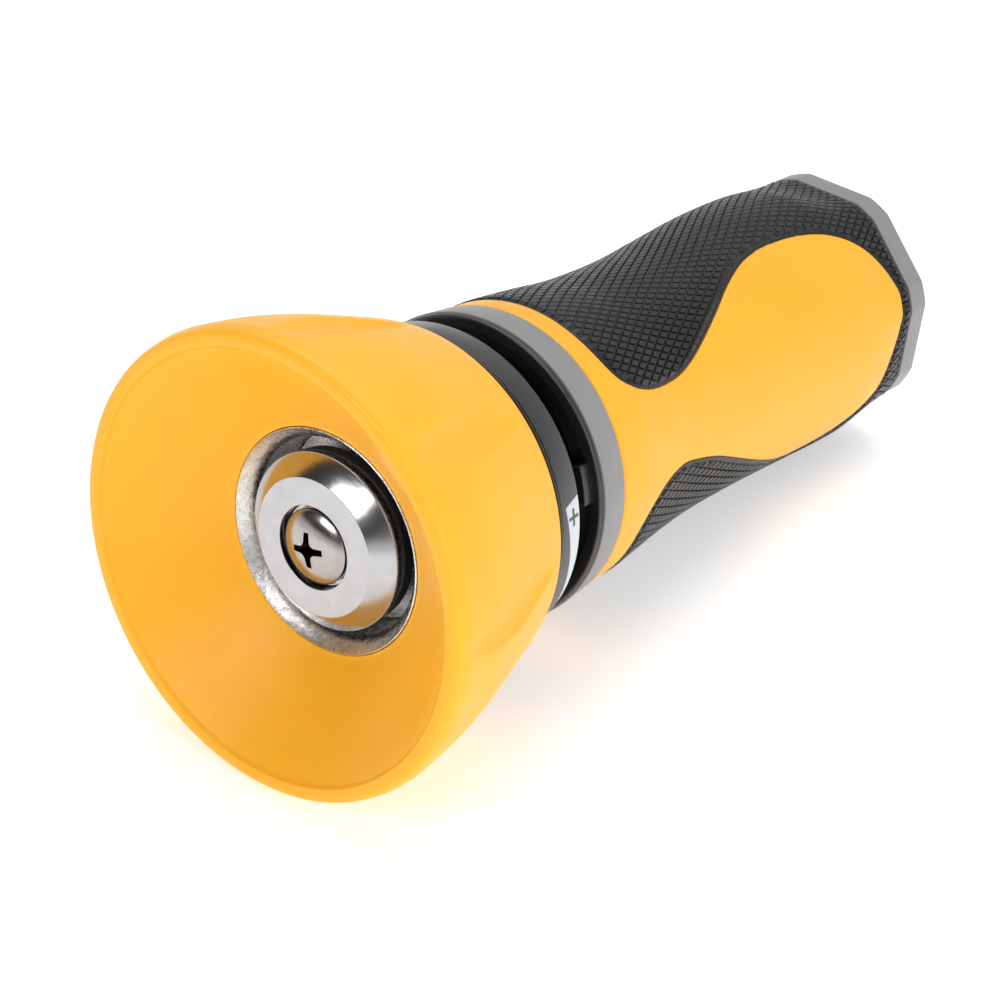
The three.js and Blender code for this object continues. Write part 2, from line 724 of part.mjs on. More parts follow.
function waterTube() {
  const [grooveFront, grooveBack] = SPIDER_CLIP_GROOVE;
  const profile = [
    [TUBE_BORE, TUBE_START],
    [TUBE_RADIUS, TUBE_START],
    ...groove(TUBE_RADIUS, BARREL_GROOVE_FLOOR, BARREL_SEAL_STATIONS[0], BARREL_GROOVE_WIDTH),
    ...groove(TUBE_RADIUS, BARREL_GROOVE_FLOOR, BARREL_SEAL_STATIONS[1], BARREL_GROOVE_WIDTH),
    ...groove(TUBE_RADIUS, INLET_GROOVE_FLOOR, INLET_SEAL_STATION, INLET_GROOVE_WIDTH),
    [TUBE_RADIUS, TUBE_END],
    [TUBE_WIDE_BORE, TUBE_END],
    [TUBE_WIDE_BORE, grooveBack],
    [SPIDER_CLIP_FLOOR, grooveBack],
    [SPIDER_CLIP_FLOOR, grooveFront],
    [TUBE_WIDE_BORE, grooveFront],
    [TUBE_WIDE_BORE, SPIDER_START - GAP],
    [TUBE_BORE, SPIDER_START - GAP],
  ];
  return piece("water_tube", turned(profile, SMALL), FINISH.tubeMetal);
}

// Three-armed holder that centres the stem in the tube and lets the water past.
function stemSpider() {
  const overlap = 0.6;
  let shape = solid(ring(STEM_RADIUS + GAP, SPIDER_HUB, SPIDER_START, SPIDER_END, SMALL));
  shape = shape.add(solid(ring(SPIDER_RIM, TUBE_WIDE_BORE - GAP, SPIDER_START, SPIDER_END, SMALL)));
  for (let i = 0; i < SPIDER_ARMS; i += 1) {
    const angle = ((i + 0.25) * 2 * Math.PI) / SPIDER_ARMS;
    const inner = SPIDER_HUB - overlap;
    const arm = spoke(angle, SPIDER_ARM_WIDTH, SPIDER_START, SPIDER_END, inner, SPIDER_RIM + overlap);
    shape = shape.add(solid(arm));
  }
  return piece("stem_spider", geometryOf(shape), FINISH.tubeMetal);
}

function stemNut() {
  const start = SPIDER_END + GAP;
  const outside = ring(0, NUT_RADIUS, start, start + NUT_THICKNESS, 6);
  const bore = ring(0, STEM_RADIUS + GAP, start - 1, start + NUT_THICKNESS + 1, SMALL);
  return piece("stem_nut", geometryOf(solid(outside).subtract(solid(bore))), FINISH.tubeMetal);
}

function valveStem() {
  const [shoulder, shoulderRadius] = STEM_SHOULDER;
  const noseFront = DISC_FLOOR + GAP;
  const flangeFront = GASKET_BACK + GAP;
  const profile = [
    [0, STEM_BORE_END],
    [STEM_BORE, STEM_BORE_END],
    [STEM_BORE, noseFront],
    [NOSE_RADIUS, noseFront],
    [NOSE_RADIUS, flangeFront],
    [STEM_FLANGE_RADIUS, flangeFront],
    [STEM_FLANGE_RADIUS, STEM_FLANGE_BACK],
    [STEM_RADIUS, STEM_FLANGE_BACK + 1.5],
    [STEM_RADIUS, shoulder],
    [shoulderRadius, shoulder],
    [shoulderRadius, SPIDER_START - GAP],
    [STEM_RADIUS, SPIDER_START - GAP],
    [STEM_RADIUS, STEM_END],
    [0, STEM_END],
  ];
  return piece("valve_stem", turned(profile, SMALL), FINISH.tubeMetal);
}

function tipDisc() {
  const profile = [
    [WELL_RADIUS, TIP_FACE],
    [TIP_FLAT_RADIUS, TIP_FACE],
    [TIP_RADIUS, TIP_EDGE],
    [TIP_RADIUS, TIP_BACK - TIP_BEVEL],
    [TIP_RADIUS - TIP_BEVEL, TIP_BACK],
    [NOSE_RADIUS + GAP, TIP_BACK],
    [NOSE_RADIUS + GAP, DISC_FLOOR],
    [SCREW_SHANK + GAP, DISC_FLOOR],
    [SCREW_SHANK + GAP, WELL_FLOOR],
    [WELL_RADIUS, WELL_FLOOR],
  ];
  return piece("tip_disc", turned(profile, ROUND), FINISH.platedMetal);
}

function tipGasket() {
  const geometry = ring(NOSE_RADIUS + GAP, GASKET_RADIUS, TIP_BACK + GAP, GASKET_BACK, ROUND);
  return piece("tip_gasket", geometry, FINISH.seal);
}

// Domed screw with a cross recess, holding the disc and gasket on the stem.
function tipScrew() {
  const profile = [
    [0, SCREW_CROWN],
    [0.4 * SCREW_HEAD_RADIUS, SCREW_CROWN + 0.3],
    [0.75 * SCREW_HEAD_RADIUS, SCREW_CROWN + 1.05],
    [SCREW_HEAD_RADIUS, SCREW_CROWN + 1.9],
    [SCREW_HEAD_RADIUS, SCREW_UNDER],
    [SCREW_SHANK, SCREW_UNDER],
    [SCREW_SHANK, SCREW_END],
    [0, SCREW_END],
  ];
  let shape = solid(turned(profile, SMALL));
  for (const quarter of [0, 1]) {
    const arm = new THREE.BoxGeometry(...SCREW_CROSS);
    arm.translate(0, SCREW_CROWN, 0);
    shape = shape.subtract(solid(arm.rotateY((quarter * Math.PI) / 2 - SCREW_CROSS_ANGLE)));
  }
  return piece("tip_screw", geometryOf(shape), FINISH.platedMetal);
}

// The head turns and travels on the handle; the stop ring only turns.
function twistHead() {
  const group = new THREE.Group();
  group.add(bell(), outletBarrel(), indicatorRing(), indicatorLabel());
  return group;
}

function valve() {
  const group = new THREE.Group();
  group.add(tipDisc(), tipGasket(), tipScrew(), valveStem(), stemSpider(), stemNut());
  group.add(clip("spider_clip", 8.4, 11.6, SPIDER_END + GAP, 1, 40 * DEGREE));
  return group;
}

function handle() {
  const group = new THREE.Group();
  group.add(pointerCollar(), frontRing(), handleShell(), handleCore(), endCap());
  group.add(grip("grip_upper", 1), grip("grip_lower", -1));
  group.add(clip("stop_clip", 20.6, 23.2, CLIP_START, CLIP_THICKNESS, 30 * DEGREE));
  group.add(waterTube(), inletInsert(), hoseWasher());
  group.add(oRing("inlet_seal", INLET_SEAL_STATION, INLET_SEAL_RADIUS, INLET_SEAL_SECTION));
  BARREL_SEAL_STATIONS.forEach((station, i) => {
    group.add(oRing(`barrel_seal_${["front", "rear"][i]}`, station, BARREL_SEAL_RADIUS, BARREL_SEAL_SECTION));
  });
  return group;
}

// The whole nozzle, rolled and leaned as it lies, with the middle of its footprint at the origin.
function lyingNozzle() {
  const rolled = new THREE.Group();
  rolled.add(twistHead(), stopRing(), valve(), handle());
  rolled.rotation.y = -ROLL;
  const leaned = new THREE.Group();
  leaned.add(rolled);
  leaned.rotation.x = -LEAN;
  const nozzle = new THREE.Group();
  nozzle.add(leaned);
  nozzle.updateMatrixWorld(true);
  const box = new THREE.Box3().setFromObject(nozzle, true);
  const middle = box.getCenter(new THREE.Vector3());
  leaned.position.set(-middle.x, -middle.y, -box.min.z);
  return nozzle;
}

export default lyingNozzle();
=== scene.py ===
"""A twist-head garden hose spray nozzle lying on a pale floor.

Pieces are drawn in millimetres along the nozzle's own axis. A station is the distance behind the plane of the
bell's rim, and an angle runs round the axis from the middle of one side panel towards the upper grip.
Each mesh is then placed in the frame's metres.
"""
import json
import math

import bmesh
import bpy
import numpy as np
from mathutils import Matrix, Quaternion, Vector, noise
from mathutils.geometry import delaunay_2d_cdt


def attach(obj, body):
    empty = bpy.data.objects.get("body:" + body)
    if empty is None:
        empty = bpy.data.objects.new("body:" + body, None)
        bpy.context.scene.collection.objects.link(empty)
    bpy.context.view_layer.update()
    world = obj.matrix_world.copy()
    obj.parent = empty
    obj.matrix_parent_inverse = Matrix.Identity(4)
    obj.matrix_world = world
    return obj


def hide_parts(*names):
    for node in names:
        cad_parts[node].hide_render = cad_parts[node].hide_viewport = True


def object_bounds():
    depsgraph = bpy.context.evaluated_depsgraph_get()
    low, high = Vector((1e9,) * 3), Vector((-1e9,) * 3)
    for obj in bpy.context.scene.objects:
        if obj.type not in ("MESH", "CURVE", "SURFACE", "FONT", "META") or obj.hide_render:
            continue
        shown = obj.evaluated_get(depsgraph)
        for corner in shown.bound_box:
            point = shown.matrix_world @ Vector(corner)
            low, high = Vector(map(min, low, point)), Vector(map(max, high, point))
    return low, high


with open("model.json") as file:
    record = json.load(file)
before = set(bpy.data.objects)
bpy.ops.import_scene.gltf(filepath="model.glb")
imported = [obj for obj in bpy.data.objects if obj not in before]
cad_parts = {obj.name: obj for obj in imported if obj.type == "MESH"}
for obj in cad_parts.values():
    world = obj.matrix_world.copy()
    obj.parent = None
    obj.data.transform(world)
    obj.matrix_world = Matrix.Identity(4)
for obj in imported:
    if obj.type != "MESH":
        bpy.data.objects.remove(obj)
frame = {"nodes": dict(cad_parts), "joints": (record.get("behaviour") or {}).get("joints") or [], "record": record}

cad_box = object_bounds()

MM = 0.001
FULL_TURN = 2 * math.pi
FINE = 288  # facets round the barrel and the grey ring; the bell has twice as many
ROUND = 192  # facets round other large pieces
CAP_FACETS = 320
SMALL = 96  # facets round small pieces

# How the nozzle is drawn and lies
OVERALL_END = 158.7
ROLL = math.radians(22.5)
CAP_FLAT = 22.2  # axis to a flat of the end cap's lower half
CAP_CORNER = 23.2  # axis to its softened corners
CAP_TALLER = 1.06  # how much taller its upper half is
CAP_START = 153.05
CAP_STEP = 0.1  # how far the handle's back end lies inside the cap's outside

# Bell
BELL_END = 34.4
HUB_BORE = 18.9
HUB_LIP_GAP = 0.13  # between the bell and the barrel's mouth
FLUTE_COUNT = 8
FLUTE_DEPTH = 1.5
FLUTE_FRONT = 0.8
FLUTE_BACK = 31.2
FLUTE_HALF_ANGLE = math.radians(6.2)
FLUTE_ANGLE = math.radians(-17.5)

# Outlet barrel
OUTLET_RADIUS = 18.6
OUTLET_FRONT = 12.45
THROAT_RADIUS = 16.3
THROAT_START = 15.6
SEAT_STATION = 23.35
SEAT_RADIUS = 11
SEAT_BACK = 26.4
BARREL_SHOULDER = 37.5
BARREL_BORE = 13.7
BARREL_TAIL = 17.2
BARREL_END = 54

# Indicator ring and label
RING_START = 34.7
RING_END = 42.2
RING_FRONT_RADIUS = 28.2
RING_BACK_RADIUS = 27.1
RING_LIP_RADIUS = 28.6  # of the thin lip behind the bell
RING_LIP_FRONT = 35.3
RING_LIP_BACK = 35.7
RING_BAND_START = 36.65
SKIRT_BORE = 25.7
SLEEVE_RADIUS = 20
SLEEVE_BORE = 17.5
SLEEVE_END = 58.8
SLEEVE_STEP = 37.8  # where its bore widens for the barrel
SLOT_COUNT = 3
SLOT_START = 50.5
SLOT_WIDTH = 5.2
LABEL_BACK = 41.9
LABEL_WIDTH = 4
LABEL_TIP_WIDTH = 0.5
LABEL_FROM = math.radians(-45)
LABEL_TO = math.radians(-5.3)
LABEL_SLANT = math.radians(2.2)  # how much further round the wide end's back corner is
LABEL_GAP = 0.12  # between the label and the sides of its pocket
PLUS_REACH = 1.45
PLUS_HALF_WIDTH = 0.26
PLUS_FROM_END = 2.1  # from the label's wide end to the middle of the plus

# Handle front
COLLAR_FRONT = 48.5
COLLAR_FACE = 50.2
COLLAR_SHOULDER = 55.6
COLLAR_END = 60
POINTER_FRONT = 46.4
POINTER_FROM = math.radians(-12)
POINTER_TO = math.radians(3.5)

# Handle: station, half width, height above the axis, depth below it, squareness of the section
HANDLE_SECTIONS = np.array([
    [55.9, 25.9, 25.9, 25.9, 2],
    [63, 25.5, 25.5, 25.5, 2],
    [71, 24.2, 24.8, 24.8, 2],
    [80, 23, 23.8, 23.9, 2],
    [90, 22.4, 23.3, 23, 2.05],
    [101, 22.2, 23.3, 22.8, 2.1],
    [112, 22.3, 24.1, 23, 2.1],
    [124, 22.6, 25, 23.4, 2.1],
    [135, 22.8, 25.2, 23.8, 2.1],
    [145, 22.7, 24.7, 23.7, 2.15],
    [152.8, 22.4, 23.6, 23.2, 2.2],
])
HANDLE_START = 55.9
HANDLE_END = 152.8
OCTAGON_FROM = 138
GRIP_FRONT = 63
GRIP_THICKNESS = 2.1
GRIP_FLOOR = 0.12  # how far the waffle's grooves lie under the handle's surface
GRIP_EDGE = 0.3  # width and depth of the rounding along the rubber's edge
PANEL_EDGE = 0.3  # width of the rounding along the yellow panels
PANEL_ROUNDING = 0.22  # and its depth
COLLAR_THICKNESS = 2.0  # of the shell's front end
SHELL_SUNK = 2.4  # how far the shell lies under the handle's surface below the rubber
SHELL_THICKNESS = 3.6
# Outline of a side panel, seen square on: station and height, from the top of the collar round its back
PANEL_OUTLINE = [
    (60.4, 30), (60.5, 24), (60.7, 18.2), (61.3, 14), (62.3, 11.6), (64.2, 9.8), (67, 8.2), (70.5, 7.1),
    (75, 6.6), (80, 6.7), (84.5, 7.7), (90, 9.7), (97, 12.6), (105, 15.9), (113.5, 18.3), (122, 19),
    (130, 18.5), (137, 16.9), (143, 13.7), (147.3, 9.6), (149.5, 5), (150, 0), (149.5, -5), (147.8, -9.8),
    (144.5, -14.9), (139, -18.4), (132, -20.4), (125, -20.9), (118, -20.2), (110, -18), (103, -15.6),
    (96, -13), (89.5, -10.6), (83, -8.9), (77, -7.9), (72, -8.7), (68.4, -10.4), (65.4, -12.7),
    (63.6, -15.6), (63.1, -20), (63, -30),
]

# Waffle on the rubber: raised cells between two families of grooves
WAFFLE_PITCH = 1.55
WAFFLE_ANGLE = math.radians(26)  # between the grooves and the nozzle's axis
WAFFLE_RELIEF = 0.34
WAFFLE_GROOVE = 0.13  # share of the pitch that is groove floor
WAFFLE_SLOPE = 0.09  # and the share of each groove side
WAFFLE_RADIUS = 24  # the pattern is laid out on a cylinder of this radius
BORDER = 0.7  # plain rubber along the panels
PARTING_GAP = 0.05  # from the parting plane to each grip

# Hose end
INSERT_RADIUS = 16.7
INSERT_START = 136
INSERT_END = 158.4
SOCKET_FLOOR = 144
THREAD_START = 148.2
THREAD_END = 157.8
THREAD_FADE = 1.2  # length over which the thread rises at each end
THREAD_PITCH = 2.2
THREAD_ROOT = 13.6
THREAD_CREST = 12.5
TUBE_RADIUS = 13.2
TUBE_BORE = 9.8
TUBE_WIDE_BORE = 11
TUBE_START = 27.5
TUBE_END = 141.5

# Tip
TIP_FACE = 10.07
TIP_FLAT_RADIUS = 11.4
TIP_EDGE = 12.75
TIP_RADIUS = 14.64
TIP_BACK = 14.5
WELL_RADIUS = 6.9
WELL_FLOOR = 12.1
NOSE_BORE = 3.9
GASKET_RADIUS = 14.3
GASKET_BACK = 17.3
SCREW_CROWN = 8.6
SCREW_RADIUS = 6.2
SCREW_DOME = 1.9  # height of its domed face
SCREW_DOME_TURN = math.radians(62)  # how far the face turns from the middle to its edge
SCREW_UNDER = 11.8
SCREW_SHANK = 2.4
SCREW_END = 24
CROSS_ANGLE = math.radians(-9.6)
CROSS_REACH = 3.2
# The recess at growing depths: depth under the crown, reach of the arms, half their width
CROSS_LAYERS = [(-0.5, 3.1, 0.52), (0.5, 2.85, 0.48), (1.6, 2.2, 0.44), (2.7, 1.2, 0.4)]
STEM_RADIUS = 4.2


# ---------- placing and meshes

def placement():
    """The matrix from millimetres along the nozzle's axis to the frame's metres."""
    turn = next(joint for joint in frame["joints"] if joint["name"] == "head_turn")
    mounts = {mount["name"]: mount for mount in frame["record"]["mounts"]}
    axis = Vector(turn["axis"]).normalized()
    on_axis = Vector(turn["pos_m"])
    cap_face = Vector(mounts["cap_back_face"]["pos_m"])
    start = on_axis + axis * ((cap_face - on_axis).dot(axis) - OVERALL_END * MM)
    sideways = Vector((1, 0, 0))
    up = sideways.cross(axis)
    panel = sideways * math.cos(ROLL) + up * math.sin(ROLL)
    grip = up * math.cos(ROLL) - sideways * math.sin(ROLL)
    matrix = Matrix((panel * MM, axis * MM, grip * MM)).transposed().to_4x4()
    matrix.translation = start
    return matrix


PLACE = placement()


def in_scene(name, data):
    """A new object in the scene."""
    thing = bpy.data.objects.new(name, data)
    bpy.context.scene.collection.objects.link(thing)
    return thing


def finished(name, mesh, material, sharp=32):
    """An object in the frame's metres from a mesh in millimetres, with edges sharper than an angle kept."""
    mesh.name = name
    mesh.transform(PLACE)
    mesh.shade_smooth()
    mesh.set_sharp_from_angle(angle=math.radians(sharp))
    mesh.materials.clear()
    mesh.materials.append(material)
    return in_scene(name, mesh)


def declared(piece, body, slot, *nodes):
    """Says what a piece rides on and stands for. The slot is not used."""
    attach(piece, body)
    if nodes:
        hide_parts(*nodes)


def filleted(corners, steps=4):
    """A closed profile from (radius, station, fillet) corners, each rounded over its own fillet length."""
    points = []
    count = len(corners)
    for i, (radius, station, fillet) in enumerate(corners):
        here = Vector((radius, station))
        if fillet == 0:
            points.append(here)
            continue
        before = Vector(corners[i - 1][:2]) - here
        after = Vector(corners[(i + 1) % count][:2]) - here
        start = here + before.normalized() * min(fillet, before.length * 0.48)
        end = here + after.normalized() * min(fillet, after.length * 0.48)
        for k in range(steps + 1):
            t = k / steps
            points.append(start * (1 - t) ** 2 + here * (2 * t * (1 - t)) + end * t ** 2)
    return points


def curve_through(points, per_span=6):
    """Points on a smooth open curve through the given ones."""
    given = [Vector(point[:2]) for point in points]
    given = [2 * given[0] - given[1], *given, 2 * given[-1] - given[-2]]
    curve = []
    for a, b, c, d in zip(given, given[1:], given[2:], given[3:]):
        knots = [0]
        for first, second in ((a, b), (b, c), (c, d)):
            knots.append(knots[-1] + max((second - first).length, 1e-6) ** 0.5)
        for k in range(per_span):
            t = knots[1] + (knots[2] - knots[1]) * k / per_span
            ends = [
                p + (q - p) * ((t - knots[i]) / (knots[i + 1] - knots[i]))
                for i, (p, q) in enumerate(((a, b), (b, c), (c, d)))
            ]
            first = ends[0] + (ends[1] - ends[0]) * ((t - knots[0]) / (knots[2] - knots[0]))
            second = ends[1] + (ends[2] - ends[1]) * ((t - knots[1]) / (knots[3] - knots[1]))
            curve.append(first + (second - first) * ((t - knots[1]) / (knots[2] - knots[1])))
    curve.append(given[-2])
    return curve


def plain(points):
    """Profile corners with no fillet."""
    return [(point[0], point[1], 0) for point in points]


def lathe_mesh(profile, facets, radius_at=None):
    """A closed profile of (radius, station) points turned round the axis.

    radius_at(radius, station, angle) may reshape it. The UV map is the turn, and the length along the
    profile in millimetres.
    """
    points = np.array([(point[0], point[1]) for point in profile])
    following = np.roll(points, -1, axis=0)
    area = ((points[:, 0] + following[:, 0]) * (following[:, 1] - points[:, 1])).sum()
    if area < 0:
        points = points[::-1]
    steps = np.linalg.norm(np.diff(points, axis=0, append=points[:1]), axis=1)
    along = np.concatenate([[0], np.cumsum(steps)])
    count = len(points)
    angle = np.linspace(0, FULL_TURN, facets, endpoint=False)[:, None]
    radius = np.repeat(points[None, :, 0], facets, axis=0)
    station = np.repeat(points[None, :, 1], facets, axis=0)
    if radius_at:
        radius = radius_at(radius, station, angle)
    verts = np.stack([radius * np.cos(angle), station, radius * np.sin(angle)], axis=-1).reshape(-1, 3)
    i, j = (grid.ravel() for grid in np.meshgrid(np.arange(facets), np.arange(count), indexing="ij"))
    i_next, j_next = (i + 1) % facets, (j + 1) % count
    faces = np.stack([i * count + j, i * count + j_next, i_next * count + j_next, i_next * count + j], axis=1)
    mesh = bpy.data.meshes.new("lathe")
    mesh.from_pydata(verts.tolist(), [], faces.tolist())
    turns = np.stack([i, i, i + 1, i + 1], axis=1) / facets
    lengths = np.stack([along[j], along[j + 1], along[j + 1], along[j]], axis=1)
    uv = mesh.uv_layers.new(name="turned")
    uv.data.foreach_set("uv", np.stack([turns, lengths], axis=-1).ravel())
    return cleaned(mesh)


def mesh_of(bm, mesh=None):
    """The mesh of a bmesh, its faces outward."""
    mesh = mesh or bpy.data.meshes.new("mesh")
    bmesh.ops.recalc_face_normals(bm, faces=bm.faces)
    bm.to_mesh(mesh)
    bm.free()
    return mesh


def cleaned(mesh, distance=1e-4):
    """The mesh with coincident points merged, empty faces gone and its faces outward."""
    bm = bmesh.new()
    bm.from_mesh(mesh)
    bmesh.ops.remove_doubles(bm, verts=bm.verts, dist=distance)
    bmesh.ops.dissolve_degenerate(bm, edges=bm.edges, dist=distance / 10)
    return mesh_of(bm, mesh)


def block_mesh(where, across=(1, 1, 1)):
    """A block split into across parts each way: where(u, v, w) places each point of the unit cube."""
    bm = bmesh.new()
    known = {}

    def point(key):
        if key not in known:
            known[key] = bm.verts.new(where(*(k / n for k, n in zip(key, across))))
        return known[key]

    for fixed in range(3):
        first, second = [k for k in range(3) if k != fixed]
        for side in (0, across[fixed]):
            for a in range(across[first]):
                for b in range(across[second]):
                    corners = []
                    for da, db in ((0, 0), (1, 0), (1, 1), (0, 1)):
                        key = [0, 0, 0]
                        key[fixed], key[first], key[second] = side, a + da, b + db
                        corners.append(point(tuple(key)))
                    bm.faces.new(corners)
    return mesh_of(bm)


def polar(radius, station, angle):
    """The point at a radius, station and angle."""
    return Vector((radius * math.cos(angle), station, radius * math.sin(angle)))


def modified(mesh, kind, **settings):
    """The mesh after one modifier."""
    holder = in_scene("holder", mesh)
    modifier = holder.modifiers.new("modifier", kind)
    for key, value in settings.items():
        setattr(modifier, key, value)
    graph = bpy.context.evaluated_depsgraph_get()
    result = bpy.data.meshes.new_from_object(holder.evaluated_get(graph), depsgraph=graph)
    bpy.data.objects.remove(holder)
    return result


def combined(mesh, other, operation):
    """The mesh joined with or cut by another."""
    tool = in_scene("tool", other)
    result = modified(mesh, "BOOLEAN", operation=operation, solver="EXACT", object=tool)
    bpy.data.objects.remove(tool)
    return result


def bevelled(mesh, width, segments=2):
    """The mesh with its sharp edges rounded."""
    sharp = math.radians(30)
    return modified(mesh, "BEVEL", width=width, segments=segments, limit_method="ANGLE", angle_limit=sharp)


def roughened(mesh, amount, size, chosen):
    """Moves the chosen points along their normals by a fractal noise, as a rough casting's skin."""
    for vertex in mesh.vertices:
        share = chosen(math.hypot(vertex.co.x, vertex.co.z), vertex.co.y)
        if share > 0:
            vertex.co += vertex.normal * (share * amount * noise.fractal(vertex.co / size, 1.0, 2.1, 4))


# ---------- materials

class Nodes:
    """A node tree and short ways to build it."""

    def __init__(self, owner):
        owner.use_nodes = True
        self.tree = owner.node_tree
        self.coordinates = self.tree.nodes.new("ShaderNodeTexCoord")

    def node(self, kind, **settings):
        made = self.tree.nodes.new(kind)
        for key, value in settings.items():
            setattr(made, key, value)
        return made

    def link(self, output, target):
        self.tree.links.new(output, target)

    def ranged(self, value, low, high, source=(0.3, 0.7), curve="LINEAR"):
        """The value spread from its source range to low and high."""
        made = self.node("ShaderNodeMapRange", interpolation_type=curve)
        self.link(value, made.inputs["Value"])
        made.inputs["From Min"].default_value, made.inputs["From Max"].default_value = source
        made.inputs["To Min"].default_value, made.inputs["To Max"].default_value = low, high
        return made.outputs["Result"]


class Finish(Nodes):
    """A material whose Principled shader is fed by procedural nodes."""

    def __init__(self, name, settings):
        self.material = bpy.data.materials.new(name)
        super().__init__(self.material)
        self.shader = self.tree.nodes["Principled BSDF"]
        for key, value in settings.items():
            self.shader.inputs[key].default_value = value

    def noise(self, size, detail=3, roughness=0.55, vector=None, dimensions="3D"):
        """A noise whose features are about size metres across, or units of the vector given."""
        made = self.node("ShaderNodeTexNoise", noise_dimensions=dimensions)
        made.inputs["Scale"].default_value = 1 / size
        made.inputs["Detail"].default_value = detail
        made.inputs["Roughness"].default_value = roughness
        if dimensions == "1D":
            self.link(vector, made.inputs["W"])
        else:
            self.link(vector or self.coordinates.outputs["Object"], made.inputs["Vector"])
        return made.outputs["Fac"]

    def blend(self, factor, first, second):
        """Two colours mixed by a factor."""
        made = self.node("ShaderNodeMix", data_type="RGBA")
        self.link(factor, made.inputs["Factor"])
        for key, colour in (("A", first), ("B", second)):
            socket = next(s for s in made.inputs if s.name == key and s.type == "RGBA")
            if isinstance(colour, tuple):
                socket.default_value = (*colour, 1)
            else:
                self.link(colour, socket)
        return next(s for s in made.outputs if s.type == "RGBA")

    def bump(self, height, depth, strength=1.0, after=None):
        """A bump of the given depth in metres, laid over another one if there is one."""
        made = self.node("ShaderNodeBump")
        made.inputs["Distance"].default_value = depth
        made.inputs["Strength"].default_value = strength
        self.link(height, made.inputs["Height"])
        if after is not None:
            self.link(after, made.inputs["Normal"])
        return made.outputs["Normal"]

    def into(self, **outputs):
        """Feeds the shader's inputs, and returns the material."""
        for key, output in outputs.items():
            self.link(output, self.shader.inputs[key.replace("_", " ").title()])
        return self.material


def moulded(name, colour, darker, roughness, grain, grain_depth, softness=0.0, shine=0.5):
    """Moulded plastic: cloudy colour, a fine spark-eroded grain and uneven gloss."""
    finish = Finish(name, {
        "Specular IOR Level": shine,
        "Subsurface Weight": softness,
        "Subsurface Radius": (0.004, 0.0018, 0.0004),
        "Subsurface Scale": 0.5,
    })
    clouds = finish.noise(0.018, detail=4)
    specks = finish.noise(0.0011, detail=2)
    tint = finish.blend(finish.ranged(clouds, 0, 1), colour, darker)
    tint = finish.blend(finish.ranged(specks, 0, 0.18, (0.55, 0.75)), tint, darker)
    gloss = finish.ranged(finish.noise(0.006, detail=3), roughness - 0.04, roughness + 0.05)
    pitted = finish.bump(finish.noise(grain, detail=2), grain_depth)
    return finish.into(base_color=tint, roughness=gloss, normal=pitted)


def rubber(name, colour, worn, roughness):
    """Matt rubber, paler where it has been rubbed."""
    finish = Finish(name, {"Specular IOR Level": 0.42, "Sheen Weight": 0.015, "Sheen Roughness": 0.4})
    tint = finish.blend(finish.ranged(finish.noise(0.012, detail=4), 0, 1), colour, worn)
    gloss = finish.ranged(finish.noise(0.002, detail=3), roughness - 0.06, roughness + 0.08)
    grained = finish.bump(finish.noise(0.00022, detail=2), 0.00002)
    return finish.into(base_color=tint, roughness=gloss, normal=grained)


def cast_metal():
    """Bright, slightly rough die casting with fine pits and glossy high spots."""
    finish = Finish("cast_metal", {"Metallic": 1})
    waves = finish.noise(0.0016, detail=3)
    pits = finish.noise(0.0003, detail=4, roughness=0.65)
    tint = finish.blend(finish.ranged(pits, 0, 1, (0.3, 0.46)), (0.38, 0.36, 0.34), (0.76, 0.75, 0.74))
    gloss = finish.ranged(finish.noise(0.0009, detail=3), 0.36, 0.2)
    waved = finish.bump(waves, 0.00009, 0.8)
    pitted = finish.bump(pits, 0.00007, 0.9, waved)
    return finish.into(base_color=tint, roughness=gloss, normal=pitted)


def turned_metal(name, colour, darker, roughness, lines=0.000004, anisotropy=0.6, painted_shade_attribute=None):
    """Turned and plated metal: gloss stretched round the axis over fine tool marks.

    The last argument names a mesh attribute that marks where the metal is painted near black, as painted shade in
    a recess.
    """
    finish = Finish(name, {"Metallic": 1, "Anisotropic": anisotropy})
    map_node = finish.node("ShaderNodeUVMap", uv_map="turned")
    split = finish.node("ShaderNodeSeparateXYZ")
    finish.link(map_node.outputs["UV"], split.inputs["Vector"])
    marks = finish.noise(0.07, detail=3, vector=split.outputs["Y"], dimensions="1D")
    tangent = finish.node("ShaderNodeTangent", direction_type="UV_MAP", uv_map="turned")
    tint = finish.blend(finish.ranged(finish.noise(0.003, detail=3), 0, 1), colour, darker)
    # Painted shade: the marked faces are mixed to near black, standing in for the shade deep in a recess.
    if painted_shade_attribute:
        painted_shade = finish.node("ShaderNodeAttribute", attribute_name=painted_shade_attribute).outputs["Fac"]
        tint = finish.blend(painted_shade, tint, (0.035, 0.028, 0.02))
    gloss = finish.ranged(marks, roughness * 0.8, roughness * 1.3)
    lined = finish.bump(marks, lines)
    return finish.into(base_color=tint, roughness=gloss, normal=lined, tangent=tangent.outputs["Tangent"])


def machined_metal(name, colour, darker, roughness):
    """Plain machined metal with faint blotches, for pieces out of view."""
    finish = Finish(name, {"Metallic": 1})
    tint = finish.blend(finish.ranged(finish.noise(0.004, detail=4), 0, 1), colour, darker)
    gloss = finish.ranged(finish.noise(0.0015, detail=3), roughness - 0.06, roughness + 0.1)
    marked = finish.bump(finish.noise(0.0005, detail=3), 0.00001)
    return finish.into(base_color=tint, roughness=gloss, normal=marked)


